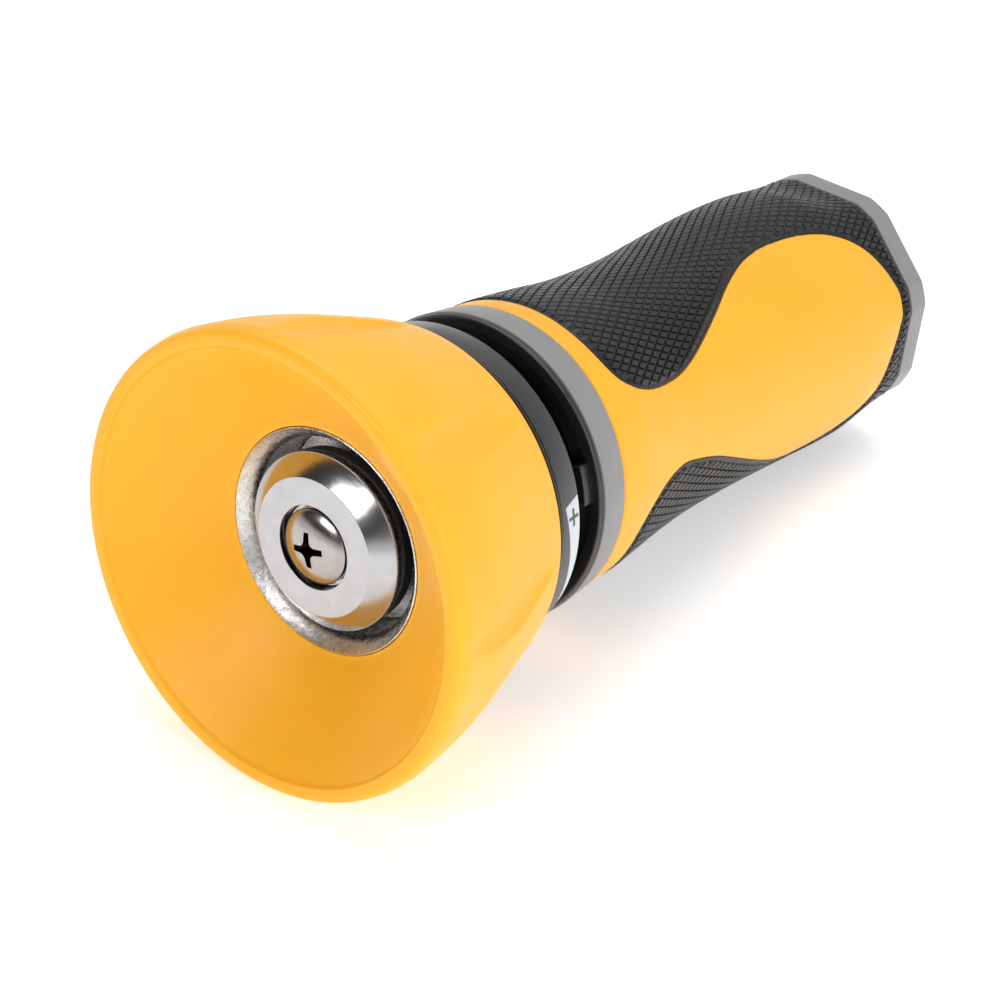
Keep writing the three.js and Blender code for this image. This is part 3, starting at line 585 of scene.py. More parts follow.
# Moulded plastics: colour, darker colour, roughness, size and depth of the grain, softness, shine
PLASTICS = {
    "bell_plastic": ((0.97, 0.475, 0.022), (0.95, 0.44, 0.016), 0.42, 0.00035, 0.000012, 0.08, 0.33),
    "panel_plastic": ((0.97, 0.455, 0.022), (0.95, 0.425, 0.016), 0.4, 0.00025, 0.000006, 0.06, 0.36),
    "black_plastic": ((0.010, 0.010, 0.011), (0.016, 0.016, 0.016), 0.3, 0.0003, 0.00001, 0, 0.7),
    "grey_plastic": ((0.26, 0.26, 0.257), (0.23, 0.23, 0.227), 0.42, 0.0003, 0.00001),
    "label": ((0.66, 0.70, 0.74), (0.58, 0.62, 0.67), 0.3, 0.0004, 0.000004),
}
MATERIALS = {name: moulded(name, *look) for name, look in PLASTICS.items()}
MATERIALS |= {
    "grip_rubber": rubber("grip_rubber", (0.004, 0.004, 0.0039), (0.009, 0.009, 0.0088), 0.36),
    "seal_rubber": rubber("seal_rubber", (0.012, 0.012, 0.012), (0.02, 0.02, 0.02), 0.45),
    "cast_metal": cast_metal(),
    "plated_metal": turned_metal("plated_metal", (0.50, 0.495, 0.505), (0.45, 0.445, 0.45), 0.15),
    "inlet_metal": turned_metal("inlet_metal", (0.72, 0.52, 0.24), (0.60, 0.42, 0.18), 0.28, anisotropy=0.4),
    "tube_metal": turned_metal("tube_metal", (0.62, 0.63, 0.64), (0.50, 0.51, 0.52), 0.3, anisotropy=0.4),
}
# The screw's cross recess is painted near black here, as painted shade.
SCREW_METAL = turned_metal("screw_metal", (0.46, 0.44, 0.42), (0.38, 0.36, 0.34), 0.17, painted_shade_attribute="recess")
PLAIN_TUBE_METAL = machined_metal("plain_tube_metal", (0.62, 0.63, 0.64), (0.48, 0.49, 0.50), 0.32)


def made(name, mesh, slot, body, *nodes, sharp=32):
    """A finished piece in its slot's material, declared to the frame."""
    declared(finished(name, mesh, MATERIALS[slot], sharp), body, slot, *nodes)


def turned(name, corners, slot, body, facets=ROUND, radius_at=None):
    """A lathe piece that stands for the CAD node of the same name."""
    mesh = lathe_mesh(filleted(corners), facets, radius_at)
    made(f"{name}_shown", mesh, slot, body, name)


# ---------- head

def flute_depth(station, angle):
    """Depth of the finger flutes: leaf-shaped hollows, closed at both ends."""
    along = np.clip((station - FLUTE_FRONT) / (FLUTE_BACK - FLUTE_FRONT), 0, 1)
    swell = np.sin(along * math.pi).clip(0) ** 0.7
    spacing = FULL_TURN / FLUTE_COUNT
    turns = (angle - FLUTE_ANGLE) / spacing
    off_axis = np.abs(turns - np.round(turns)) * spacing
    across = np.clip(off_axis / np.maximum(FLUTE_HALF_ANGLE * swell, 1e-6), 0, 1)
    return FLUTE_DEPTH * swell * np.cos(across * math.pi / 2) ** 0.8


def bell():
    outside = curve_through([
        (38, 1.4), (37.45, 6), (36.8, 10), (35.9, 14), (34.7, 18.5), (33.3, 23), (31.9, 27.4), (30.5, 31.6),
        (29.5, 33.9),
    ])
    cone = curve_through([
        (HUB_BORE + 0.3, 12.45), (22.8, 9.6), (28.6, 4.9), (33.2, 0.9), (34.85, -0.45),
    ])
    corners = [
        (36.4, -1.25, 0.8), (37.6, -0.85, 1.0),
        *plain(outside),
        (29.1, BELL_END, 0.5), (25.7, BELL_END, 0.3), (27, 31, 0), (29.4, 24, 0),
        (31.8, 16, 0), (33.2, 8, 0.5), (32.6, 6, 0.5), (22.2, 14, 0.5),
        (22.2, BELL_END, 0.3), (HUB_BORE, BELL_END, 0.3), (HUB_BORE, 13.4, 0.1),
        (OUTLET_RADIUS + HUB_LIP_GAP, 13.2, 0.05), (OUTLET_RADIUS + HUB_LIP_GAP, 12.6, 0.1),
        *plain(cone),
        (35.15, -1.05, 0.12),
    ]

    def fluted(radius, station, angle):
        middle_of_wall = 37.4 - station * 0.29
        return np.where(radius > middle_of_wall, radius - flute_depth(station, angle), radius)

    turned("bell", corners, "bell_plastic", "head", 2 * FINE, fluted)


def outlet_barrel():
    funnel_steps = 16
    lip = (OUTLET_RADIUS - 0.22, OUTLET_FRONT)
    funnel = [
        (lip[0] + (THROAT_RADIUS - lip[0]) * math.sin(k / funnel_steps * math.pi / 2) ** 1.15,
         lip[1] + (THROAT_START - lip[1]) * (k / funnel_steps))
        for k in range(funnel_steps + 1)
    ]
    ribs = []
    for k in range(1, 18):
        station = THROAT_START + 0.4 * k
        ribs.append((THROAT_RADIUS + (0.14 if k % 2 else -0.02), station))
    corners = [
        (OUTLET_RADIUS, OUTLET_FRONT + 0.1, 0.08), (OUTLET_RADIUS, BARREL_SHOULDER, 0.2),
        (BARREL_TAIL, BARREL_SHOULDER, 0.2),
        (BARREL_TAIL, BARREL_END, 0.3), (BARREL_BORE, BARREL_END, 0.3), (BARREL_BORE, SEAT_BACK, 0.2),
        (SEAT_RADIUS, SEAT_BACK, 0.2), (SEAT_RADIUS, SEAT_STATION, 0.3), (THROAT_RADIUS, SEAT_STATION, 0.3),
        *plain(reversed(ribs)),
        *plain(reversed(funnel)),
    ]
    mesh = lathe_mesh(filleted(corners), FINE)

    def on_funnel(radius, station):
        return 1 if station < THROAT_START - 0.1 and radius < OUTLET_RADIUS + 0.01 else 0

    roughened(mesh, 0.045, 0.8, on_funnel)
    made("outlet_barrel_shown", mesh, "cast_metal", "head", "outlet_barrel", sharp=50)


def ring_radius(station):
    along = (station - RING_START) / (RING_END - RING_START)
    return RING_FRONT_RADIUS + (RING_BACK_RADIUS - RING_FRONT_RADIUS) * along


def label_place(margin, low, high):
    """Places a block's points over the wedge that shows the flow."""
    def where(along, across, out):
        width = LABEL_TIP_WIDTH + (LABEL_WIDTH - LABEL_TIP_WIDTH) * along
        station = LABEL_BACK - width - margin + (width + 2 * margin) * across
        end = LABEL_TO + LABEL_SLANT * across + margin / RING_BACK_RADIUS
        start = LABEL_FROM - margin / RING_BACK_RADIUS
        radius = ring_radius(station) + low + (high - low) * out
        return polar(radius, station, start + (end - start) * along)
    return where


def indicator_ring():
    web = RING_START + 2.5
    corners = [
        (HUB_BORE, RING_START, 0.2), (27.5, RING_START, 0.12), (27.5, RING_LIP_FRONT, 0.05),
        (RING_LIP_RADIUS, RING_LIP_FRONT, 0.12), (RING_LIP_RADIUS, RING_LIP_BACK, 0.08),
        (27, RING_LIP_BACK + 0.05, 0.05), (27, RING_BAND_START, 0.05),
        (ring_radius(RING_BAND_START), RING_BAND_START, 0.1), (RING_BACK_RADIUS, RING_END, 0.35),
        (SKIRT_BORE, RING_END, 0.25), (SKIRT_BORE, web, 0.3), (SLEEVE_RADIUS, web, 0.3),
        (SLEEVE_RADIUS, SLEEVE_END, 0.3), (SLEEVE_BORE, SLEEVE_END, 0.3), (SLEEVE_BORE, SLEEVE_STEP, 0.1),
        (HUB_BORE, SLEEVE_STEP, 0.1),
    ]
    mesh = lathe_mesh(filleted(corners), ROUND)
    pocket = block_mesh(label_place(LABEL_GAP, -0.45, 1.0), (24, 2, 1))
    mesh = combined(mesh, pocket, "DIFFERENCE")
    inner, outer = SLEEVE_BORE - 2, SLEEVE_RADIUS + 1
    for i in range(SLOT_COUNT):
        turn = Matrix.Rotation(-i * FULL_TURN / SLOT_COUNT, 4, "Y")
        slot = block_mesh(lambda u, v, w: turn @ Vector((
            inner + (outer - inner) * u,
            SLOT_START + (SLEEVE_END + 1 - SLOT_START) * v,
            SLOT_WIDTH * (w - 0.5),
        )))
        mesh = combined(mesh, slot, "DIFFERENCE")
    made("indicator_ring_shown", mesh, "black_plastic", "head", "indicator_ring")


def indicator_label():
    mesh = bevelled(block_mesh(label_place(0, -0.4, 0.02), (28, 4, 1)), 0.05)
    made("indicator_label_shown", mesh, "label", "head", "indicator_label")
    middle_station = LABEL_BACK - 0.5 * LABEL_WIDTH + 0.15
    middle_angle = LABEL_TO - PLUS_FROM_END / RING_BACK_RADIUS
    bars = []
    for along, across in ((PLUS_REACH, PLUS_HALF_WIDTH), (PLUS_HALF_WIDTH, PLUS_REACH)):
        def bar(u, v, w):
            station = middle_station + across * (2 * v - 1)
            angle = middle_angle + along * (2 * u - 1) / RING_BACK_RADIUS
            return polar(ring_radius(station) - 0.05 + 0.12 * w, station, angle)

        bars.append(block_mesh(bar, (6, 6, 1)))
    made("indicator_plus", combined(*bars, "UNION"), "black_plastic", "head")


# ---------- valve tip

def tip_disc():
    corners = [
        (WELL_RADIUS, TIP_FACE, 0.12), (TIP_FLAT_RADIUS, TIP_FACE, 0.1), (TIP_RADIUS, TIP_EDGE, 0.14),
        (TIP_RADIUS, TIP_BACK - 0.4, 0.2), (TIP_RADIUS - 0.5, TIP_BACK, 0.1), (NOSE_BORE, TIP_BACK, 0.1),
        (NOSE_BORE, 13.1, 0.1), (2.7, 13.1, 0.1), (2.7, WELL_FLOOR, 0.1), (WELL_RADIUS, WELL_FLOOR, 0.3),
    ]
    turned("tip_disc", corners, "plated_metal", "handle")


def tip_gasket():
    front = TIP_BACK + 0.3
    corners = [
        (NOSE_BORE, front, 0.1), (GASKET_RADIUS, front, 0.4), (GASKET_RADIUS, GASKET_BACK, 0.6),
        (NOSE_BORE, GASKET_BACK, 0.1),
    ]
    turned("tip_gasket", corners, "seal_rubber", "handle")


def cross_outline(length, half_width):
    """A cross with soft inner corners, as (x, y) points."""
    inner = length * 0.44
    quarter = [
        (length, -half_width), (length, half_width), (inner, half_width * 1.2),
        (inner * 0.66, inner * 0.66), (half_width * 1.2, inner),
    ]
    turns = (Matrix.Rotation(k * math.pi / 2, 2) for k in range(4))
    return [turn @ Vector(point) for turn in turns for point in quarter]


def cross_cutter():
    """The screwdriver's recess: a cross whose arms shorten towards its floor."""
    bm = bmesh.new()
    layers = []
    for depth, length, half_width in CROSS_LAYERS:
        outline = cross_outline(length, half_width)
        layers.append([bm.verts.new((point.x, SCREW_CROWN + depth, point.y)) for point in outline])
    count = len(layers[0])
    for upper, lower in zip(layers, layers[1:]):
        for i in range(count):
            j = (i + 1) % count
            bm.faces.new((upper[i], upper[j], lower[j], lower[i]))
    bm.faces.new(layers[0])
    bm.faces.new(layers[-1])
    bmesh.ops.rotate(bm, verts=bm.verts, matrix=Matrix.Rotation(-CROSS_ANGLE, 3, "Y"))
    return mesh_of(bm)


def dome_station(radius):
    """Station of the screw's domed face at a radius."""
    turn = math.asin(min(1, radius / SCREW_RADIUS) * math.sin(SCREW_DOME_TURN))
    return SCREW_CROWN + SCREW_DOME * (1 - math.cos(turn)) / (1 - math.cos(SCREW_DOME_TURN))


def mark_recess(mesh):
    """Marks the faces of the screw's recess, which lie behind its dome and in front of its underside; the screw's
    finish paints them near black as painted shade.
    """
    recess = mesh.attributes.new("recess", "FLOAT", "FACE")
    for face, mark in zip(mesh.polygons, recess.data):
        radius = math.hypot(face.center.x, face.center.z)
        behind_dome = dome_station(radius) + 0.06 < face.center.y
        mark.value = float(radius < CROSS_REACH and behind_dome and face.center.y < SCREW_UNDER - 0.1)


def tip_screw():
    dome = [(radius, dome_station(radius)) for radius in np.linspace(0, SCREW_RADIUS - 0.25, 14)]
    corners = [
        *plain(dome),
        (SCREW_RADIUS, dome_station(SCREW_RADIUS), 0.12), (SCREW_RADIUS, SCREW_UNDER, 0.15),
        (SCREW_SHANK, SCREW_UNDER, 0.1), (SCREW_SHANK, SCREW_END, 0.5), (0, SCREW_END, 0),
    ]
    mesh = combined(lathe_mesh(filleted(corners), SMALL), cross_cutter(), "DIFFERENCE")
    mark_recess(mesh)
    declared(finished("tip_screw_shown", mesh, SCREW_METAL), "handle", "plated_metal", "tip_screw")


def valve_stem():
    front = GASKET_BACK + 0.3
    corners = [
        (0, 25.5, 0), (2.8, 25.5, 0.2), (2.8, 13.4, 0.1), (3.6, 13.4, 0.1),
        (3.6, front, 0.1), (9.2, front, 0.3), (9.2, 19, 0.4), (STEM_RADIUS, 20.5, 0.8),
        (STEM_RADIUS, 57.5, 0.2), (6, 57.5, 0.2), (6, 60, 0.2), (STEM_RADIUS, 60, 0.1),
        (STEM_RADIUS, 71, 0.5), (0, 71, 0),
    ]
    turned("valve_stem", corners, "tube_metal", "handle", SMALL)


# ---------- handle

def pointer_collar():
    corners = [
        (24.3, COLLAR_FRONT, 0.25), (26.3, COLLAR_FRONT, 0.45), (26.3, COLLAR_FRONT + 0.8, 0.1),
        (25, COLLAR_FRONT + 0.8, 0.1), (25, COLLAR_SHOULDER, 0.1), (23.6, COLLAR_SHOULDER, 0.1),
        (23.6, COLLAR_END, 0.2), (22.6, COLLAR_END, 0.2), (22.6, 54.25, 0.1), (23.5, 54.25, 0.05),
        (23.5, 50.7, 0.05), (20.4, 50.7, 0.05), (20.4, COLLAR_FACE, 0.1), (24.2, COLLAR_FACE, 0.3),
    ]
    mesh = lathe_mesh(filleted(corners), ROUND)
    pointer = block_mesh(lambda u, v, w: polar(
        22.4 + 2.5 * w,
        POINTER_FRONT + (COLLAR_FACE + 0.3 - POINTER_FRONT) * v,
        POINTER_FROM + (POINTER_TO - POINTER_FROM) * u,
    ), (8, 1, 1))
    mesh = combined(mesh, bevelled(pointer, 0.22, 3), "UNION")
    made("pointer_collar_shown", mesh, "black_plastic", "handle", "pointer_collar")


def front_ring():
    corners = [
        (25.3, 49.6, 0.1), (26.6, 49.6, 0.22), (26.05, COLLAR_SHOULDER, 0.2), (25.3, COLLAR_SHOULDER, 0.1),
    ]
    turned("front_ring", corners, "grey_plastic", "handle", FINE)


def spline(x, knots, values):
    """A smooth curve through the knots, each knot's slope taken from its neighbours."""
    slopes = np.empty_like(values)
    slopes[1:-1] = (values[2:] - values[:-2]) / (knots[2:] - knots[:-2])
    slopes[0] = (values[1] - values[0]) / (knots[1] - knots[0])
    slopes[-1] = (values[-1] - values[-2]) / (knots[-1] - knots[-2])
    i = np.clip(np.searchsorted(knots, x) - 1, 0, len(knots) - 2)
    width = knots[i + 1] - knots[i]
    t = np.clip((x - knots[i]) / width, 0, 1)
    start = (1 + 2 * t) * (1 - t) ** 2 * values[i] + t * (1 - t) ** 2 * width * slopes[i]
    end = t ** 2 * (3 - 2 * t) * values[i + 1] + t ** 2 * (t - 1) * width * slopes[i + 1]
    return start + end


def cap_radius(angle, inset=0.0):
    """Radius of the end cap: a soft octagon with a corner on the middle of each side panel."""
    taller = np.where(np.sin(angle) > 0, CAP_TALLER, 1)
    even = np.arctan2(np.sin(angle) / taller, np.cos(angle))
    side = math.pi / 4
    off_flat = even - side * np.floor(even / side) - side / 2
    radius = np.minimum((CAP_FLAT - inset) / np.cos(off_flat), CAP_CORNER - inset)
    return radius * np.hypot(np.cos(even), np.sin(even) * taller)


def handle_radius(station, angle):
    """The handle's outside: a soft oval that turns into the end cap's octagon at the back."""
    knots, *columns = HANDLE_SECTIONS.T
    width, top, bottom, power = (spline(station, knots, column) for column in columns)
    height = np.where(np.sin(angle) > 0, top, bottom)
    oval = (np.abs(np.cos(angle) / width) ** power + np.abs(np.sin(angle) / height) ** power) ** (-1 / power)
    t = np.clip((station - OCTAGON_FROM) / (HANDLE_END - OCTAGON_FROM), 0, 1)
    blend = t * t * (3 - 2 * t)
    return oval + (cap_radius(angle, CAP_STEP) - oval) * blend


PANEL_LINE = np.array(curve_through(PANEL_OUTLINE, 5))
PANEL_TIP = int(PANEL_LINE[:, 0].argmax())


def from_panel(angle, station):
    """Distance from the side panels' outline, seen square on: below 0 on the panels and the collar."""
    height = handle_radius(station, angle) * np.sin(angle)
    points = np.stack([station, height], axis=1)
    near = np.full(len(points), 1e6)
    for start, end in zip(PANEL_LINE, PANEL_LINE[1:]):
        step = end - start
        share = np.clip((points - start) @ step / (step @ step), 0, 1)
        near = np.minimum(near, np.linalg.norm(points - start - share[:, None] * step, axis=1))
    upper, lower = PANEL_LINE[:PANEL_TIP + 1], PANEL_LINE[PANEL_TIP:][::-1]
    top = np.interp(station, np.maximum.accumulate(upper[:, 0]), upper[:, 1], right=-99)
    bottom = np.interp(station, np.maximum.accumulate(lower[:, 0]), lower[:, 1], right=99)
    return np.where((height < top) & (height > bottom), -near, near)


def split_along(bm, distance, level):
    """Cuts faces where the distance crosses a level. Points are (angle, station, depth)."""
    verts = list(bm.verts)
    values = distance(*vertex_columns(verts)[:2]) - level
    value = dict(zip(verts, values))
    on_line = set()
    for edge in list(bm.edges):
        a, b = edge.verts
        if value[a] * value[b] < 0:
            share = value[a] / (value[a] - value[b])
            if 0.001 < share < 0.999:
                on_line.add(bmesh.utils.edge_split(edge, a, share)[1])
            else:
                on_line.add(a if share < 0.5 else b)
    for face in list(bm.faces):
        cut = [vertex for vertex in face.verts if vertex in on_line]
        if len(cut) == 2 and not any(cut[1] in edge.verts for edge in cut[0].link_edges):
            bmesh.utils.face_split(face, cut[0], cut[1])


def vertex_columns(verts):
    """The vertices' angles, stations and depths as arrays."""
    return np.array([vertex.co for vertex in verts]).reshape(-1, 3).T


def wrapped(bm):
    """A mesh in space from points that are (angle, station, depth) under the handle's surface."""
    verts = list(bm.verts)
    angle, station, depth = vertex_columns(verts)
    radius = handle_radius(station, angle) - depth
    for vertex, x, y, z in zip(verts, radius * np.cos(angle), station, radius * np.sin(angle)):
        vertex.co = (x, y, z)
    bmesh.ops.remove_doubles(bm, verts=bm.verts, dist=0.002)
    return mesh_of(bm)


def handle_shell():
    """Yellow shell: side panels and collar at the surface, the rest sunk under the rubber."""
    inner_stations = np.linspace(HANDLE_START + 0.5, HANDLE_END - 0.3, 108)
    rows = [(station, 0.0) for station in (HANDLE_START, HANDLE_START + 0.15, *inner_stations, HANDLE_END)]
    rows += [(station, SHELL_THICKNESS) for station in np.linspace(HANDLE_END, COLLAR_END + 0.3, 14)]
    rows += [(COLLAR_END + 0.2, COLLAR_THICKNESS), (HANDLE_START, COLLAR_THICKNESS)]
    columns = 160
    bm = bmesh.new()
    grid = [[bm.verts.new((FULL_TURN * i / columns, s, d)) for s, d in rows] for i in range(columns + 1)]
    for i in range(columns):
        for j in range(len(rows)):
            k = (j + 1) % len(rows)
            bm.faces.new((grid[i][j], grid[i + 1][j], grid[i + 1][k], grid[i][k]))
    for level in (-PANEL_EDGE, -PANEL_EDGE / 3, 0.0, 0.2):
        split_along(bm, from_panel, level)
    verts = list(bm.verts)
    angle, station, depth = vertex_columns(verts)
    inside = -from_panel(angle, station)
    rounding = PANEL_ROUNDING * np.clip(1 - inside / PANEL_EDGE, 0, 1) ** 2
    front = 0.3 * np.clip(1 - (station - HANDLE_START) / 0.45, 0, 1) ** 2
    shown = np.where(inside > -0.1, rounding + front, SHELL_SUNK)
    for vertex, new_depth, old_depth in zip(verts, shown, depth):
        if old_depth < COLLAR_THICKNESS - 0.1:
            vertex.co.z = new_depth
    made("handle_shell_shown", wrapped(bm), "panel_plastic", "handle", "handle_shell", sharp=40)


def waffle_height(station, angle):
    """Relief of the waffle: raised cells with sloping sides and narrow grooves."""
    along = station * math.sin(WAFFLE_ANGLE)
    across = angle * WAFFLE_RADIUS * math.cos(WAFFLE_ANGLE)
    marks = np.array([0, WAFFLE_GROOVE / 2, WAFFLE_GROOVE / 2 + WAFFLE_SLOPE])
    marks = np.concatenate([marks, 1 - marks[::-1]])
    heights = [np.interp((offset / WAFFLE_PITCH) % 1, marks, [0, 0, 1, 1, 0, 0])
               for offset in (across - along, across + along)]
    return np.minimum(*heights)


def waffle_sheet(sign):
    """A sheet of points (angle, station, 0) on the cells' own lines, over one half of the handle."""
    first = WAFFLE_GROOVE / 2
    offsets = np.array([first, first + WAFFLE_SLOPE, 0.5, 1 - first - WAFFLE_SLOPE, 1 - first])
    reach = math.pi * WAFFLE_RADIUS * math.cos(WAFFLE_ANGLE)
    low, high = (0, reach) if sign > 0 else (-reach, 0)
    near, far = (station * math.sin(WAFFLE_ANGLE) for station in (GRIP_FRONT - 3, HANDLE_END + 1.2))
    falling = np.arange(math.floor((low - far) / WAFFLE_PITCH), math.ceil((high - near) / WAFFLE_PITCH))
    rising = np.arange(math.floor((low + near) / WAFFLE_PITCH), math.ceil((high + far) / WAFFLE_PITCH))
    p = (falling[:, None] + offsets).ravel() * WAFFLE_PITCH
    q = (rising[:, None] + offsets).ravel() * WAFFLE_PITCH
    p_grid, q_grid = np.meshgrid(p, q, indexing="ij")
    station = (q_grid - p_grid) / (2 * math.sin(WAFFLE_ANGLE))
    angle = (p_grid + q_grid) / (2 * math.cos(WAFFLE_ANGLE) * WAFFLE_RADIUS)
    distance = grip_distance(sign)(angle.ravel(), station.ravel()).reshape(angle.shape)
    keep = distance > 0
    bm = bmesh.new()
    known = {}

    def vertex(i, j):
        if (i, j) not in known:
            known[i, j] = bm.verts.new((angle[i, j], station[i, j], 0))
        return known[i, j]

    any_inside = keep[:-1, :-1] | keep[1:, :-1] | keep[1:, 1:] | keep[:-1, 1:]
    for i, j in zip(*np.nonzero(any_inside)):
        bm.faces.new((vertex(i, j), vertex(i + 1, j), vertex(i + 1, j + 1), vertex(i, j + 1)))
    return bm


def grip_distance(sign, border=0.0):
    """The function that gives how far a point of a grip is inside its edge, or inside a border along it."""
    def distance(angle, station):
        station_in = np.clip(station, HANDLE_START, HANDLE_END)
        from_parting = sign * handle_radius(station_in, angle) * np.sin(angle) - PARTING_GAP
        from_back = HANDLE_END - border / 2 - station
        inside = np.minimum(np.minimum(from_panel(angle, station_in), from_parting) - border, from_back)
        return np.where(np.abs(angle) > math.pi, -1, inside)
    return distance


def fill_under(bm, rim, sign, spacing=3.0):
    """Fills the rim's loop, flat in the (angle, station) plane, with triangles over a grid of points."""
    verts = list(dict.fromkeys(vertex for edge in rim for vertex in edge.verts))
    index = {vertex: i for i, vertex in enumerate(verts)}
    depth = verts[0].co.z
    points = [Vector((vertex.co.x * WAFFLE_RADIUS, vertex.co.y)) for vertex in verts]
    reach = math.pi * WAFFLE_RADIUS
    low = 0 if sign > 0 else -reach
    grid = np.meshgrid(np.arange(low, low + reach, spacing), np.arange(GRIP_FRONT, HANDLE_END, spacing))
    across, along = (side.ravel() for side in grid)
    inside = grip_distance(sign)(across / WAFFLE_RADIUS, along) > spacing / 3
    points += [Vector(point) for point in zip(across[inside], along[inside])]
    edges = [tuple(index[vertex] for vertex in edge.verts) for edge in rim]
    new_points, _, faces, origins, _, _ = delaunay_2d_cdt(points, edges, [], 1, 1e-6)
    placed = []
    for point, origin in zip(new_points, origins):
        known = [k for k in origin if k < len(verts)]
        if known:
            placed.append(verts[known[0]])
        else:
            placed.append(bm.verts.new((point.x / WAFFLE_RADIUS, point.y, depth)))
    for face in faces:
        corners = [placed[k] for k in face]
        if len(set(corners)) == 3 and bm.faces.get(corners) is None:
            bm.faces.new(corners)


def grip(name, sign):
    """Half of the rubber overmould, its waffle as real relief inside a plain border."""
    bm = waffle_sheet(sign)
    inside_edge = grip_distance(sign)
    inside_border = grip_distance(sign, BORDER)
    for level in (0.0, 0.1, GRIP_EDGE):
        split_along(bm, inside_edge, level)
    split_along(bm, inside_border, 0.0)
    faces = list(bm.faces)
    centres = np.array([face.calc_center_median() for face in faces])
    outside = inside_edge(centres[:, 0], centres[:, 1]) < 0
    bmesh.ops.delete(bm, geom=[face for face, out in zip(faces, outside) if out], context="FACES")
    verts = list(bm.verts)
    angle, station, _ = vertex_columns(verts)
    edge = np.maximum(inside_edge(angle, station), 0)
    relief = np.where(inside_border(angle, station) > 0.01, waffle_height(station, angle) * WAFFLE_RELIEF, 0)
    depth = GRIP_FLOOR + GRIP_EDGE * np.clip(1 - edge / GRIP_EDGE, 0, 1) ** 2 - relief
    for vertex, value in zip(verts, depth):
        vertex.co.z = value
    rim = [edge for edge in bm.edges if edge.is_boundary]
    wall = bmesh.ops.extrude_edge_only(bm, edges=rim)["geom"]
    for vertex in (item for item in wall if isinstance(item, bmesh.types.BMVert)):
        vertex.co.z = GRIP_THICKNESS
    lower = [item for item in wall if isinstance(item, bmesh.types.BMEdge) and item.is_boundary
             and all(vertex.co.z > GRIP_THICKNESS - 0.01 for vertex in item.verts)]
    fill_under(bm, lower, sign)
    made(f"{name}_shown", wrapped(bm), "grip_rubber", "handle", name, sharp=50)


# ---------- hose end and inside

def end_cap():
    bore = INSERT_RADIUS + 0.25
    corners = [
        (bore, CAP_START, 0.1), (CAP_FLAT, CAP_START, 0.22), (CAP_FLAT, OVERALL_END - 0.55, 0.5),
        (CAP_FLAT - 0.7, OVERALL_END, 0.3), (bore, OVERALL_END, 0.3),
    ]

    def octagonal(radius, station, angle):
        return np.where(radius > 20, cap_radius(angle, CAP_FLAT - radius), radius)

    mesh = lathe_mesh(filleted(corners), CAP_FACETS, octagonal)
    made("end_cap_shown", mesh, "grey_plastic", "handle", "end_cap", sharp=20)


def inlet_insert():
    threaded = [(THREAD_ROOT, station) for station in np.arange(THREAD_START, THREAD_END, 0.16)]
    corners = [
        (TUBE_RADIUS + 0.25, INSERT_START, 0.2), (TUBE_RADIUS + 0.25, TUBE_END + 0.3, 0.1),
        (9, TUBE_END + 0.3, 0.3), (9, SOCKET_FLOOR, 0.3), (THREAD_ROOT + 0.1, SOCKET_FLOOR, 0.2),
        *plain(threaded),
        (THREAD_ROOT + 0.6, INSERT_END, 0.2), (INSERT_RADIUS, INSERT_END, 0.3),
        (INSERT_RADIUS, INSERT_START, 0.3),
    ]

    def with_thread(radius, station, angle):
        turn = (station / THREAD_PITCH - angle / FULL_TURN) % 1
        ridge = np.interp(turn, [0, 0.12, 0.4, 0.6, 0.88, 1], [0, 0, 1, 1, 0, 0])
        fade = np.clip(np.minimum(station - THREAD_START, THREAD_END - station) / THREAD_FADE, 0, 1)
        on_thread = np.abs(radius - THREAD_ROOT) < 1e-6
        return np.where(on_thread, radius - (THREAD_ROOT - THREAD_CREST) * ridge * fade, radius)

    turned("inlet_insert", corners, "inlet_metal", "handle", SMALL, with_thread)


def hose_washer():
    corners = [(8.5, 144.3, 0.6), (12.9, 144.3, 0.6), (12.9, 147.2, 0.6), (8.5, 147.2, 0.6)]
    turned("hose_washer", corners, "seal_rubber", "handle", SMALL)


def water_tube():
    corners = [(TUBE_BORE, TUBE_START, 0.3), (TUBE_RADIUS, TUBE_START, 0.4)]
    for middle, half, bottom in ((31, 1.15, 11.4), (35.5, 1.15, 11.4), (138.6, 0.9, 12)):
        corners += [
            (TUBE_RADIUS, middle - half, 0.1), (bottom, middle - half, 0.15),
            (bottom, middle + half, 0.15), (TUBE_RADIUS, middle + half, 0.1),
        ]
    corners += [
        (TUBE_RADIUS, TUBE_END, 0.3), (TUBE_WIDE_BORE, TUBE_END, 0.3), (TUBE_WIDE_BORE, 67.5, 0.1),
        (11.9, 67.5, 0.1), (11.9, 65.9, 0.1), (TUBE_WIDE_BORE, 65.9, 0.1), (TUBE_WIDE_BORE, 60, 0.2),
        (TUBE_BORE, 60, 0.2),
    ]
    turned("water_tube", corners, "tube_metal", "handle", SMALL)


def seal_ring(name, station, middle, section):
    """A round seal of round section."""
    loop = [
        (middle + section * math.cos(t), station + section * math.sin(t), 0)
        for t in np.linspace(0, FULL_TURN, 16, endpoint=False)
    ]
    turned(name, loop, "seal_rubber", "handle", SMALL)


def kept_nodes():
    """Gives the CAD nodes that stay their materials."""
    for material, names in (
        (MATERIALS["black_plastic"], ("stop_ring", "handle_core")),
        (PLAIN_TUBE_METAL, ("stop_clip", "spider_clip", "stem_spider", "stem_nut")),
    ):
        for name in names:
            for material_slot in frame["nodes"][name].material_slots:
                material_slot.material = material


# ---------- camera, light and floor

CAMERA_AZIMUTH = math.radians(36.8)
CAMERA_ELEVATION = math.radians(33.4)
CAMERA_ROLL = math.radians(3.56)
CAMERA_DISTANCE = 0.4266
CAMERA_AIM = (-0.0137, -0.0206)  # what the camera looks at, right of and above the nozzle's middle


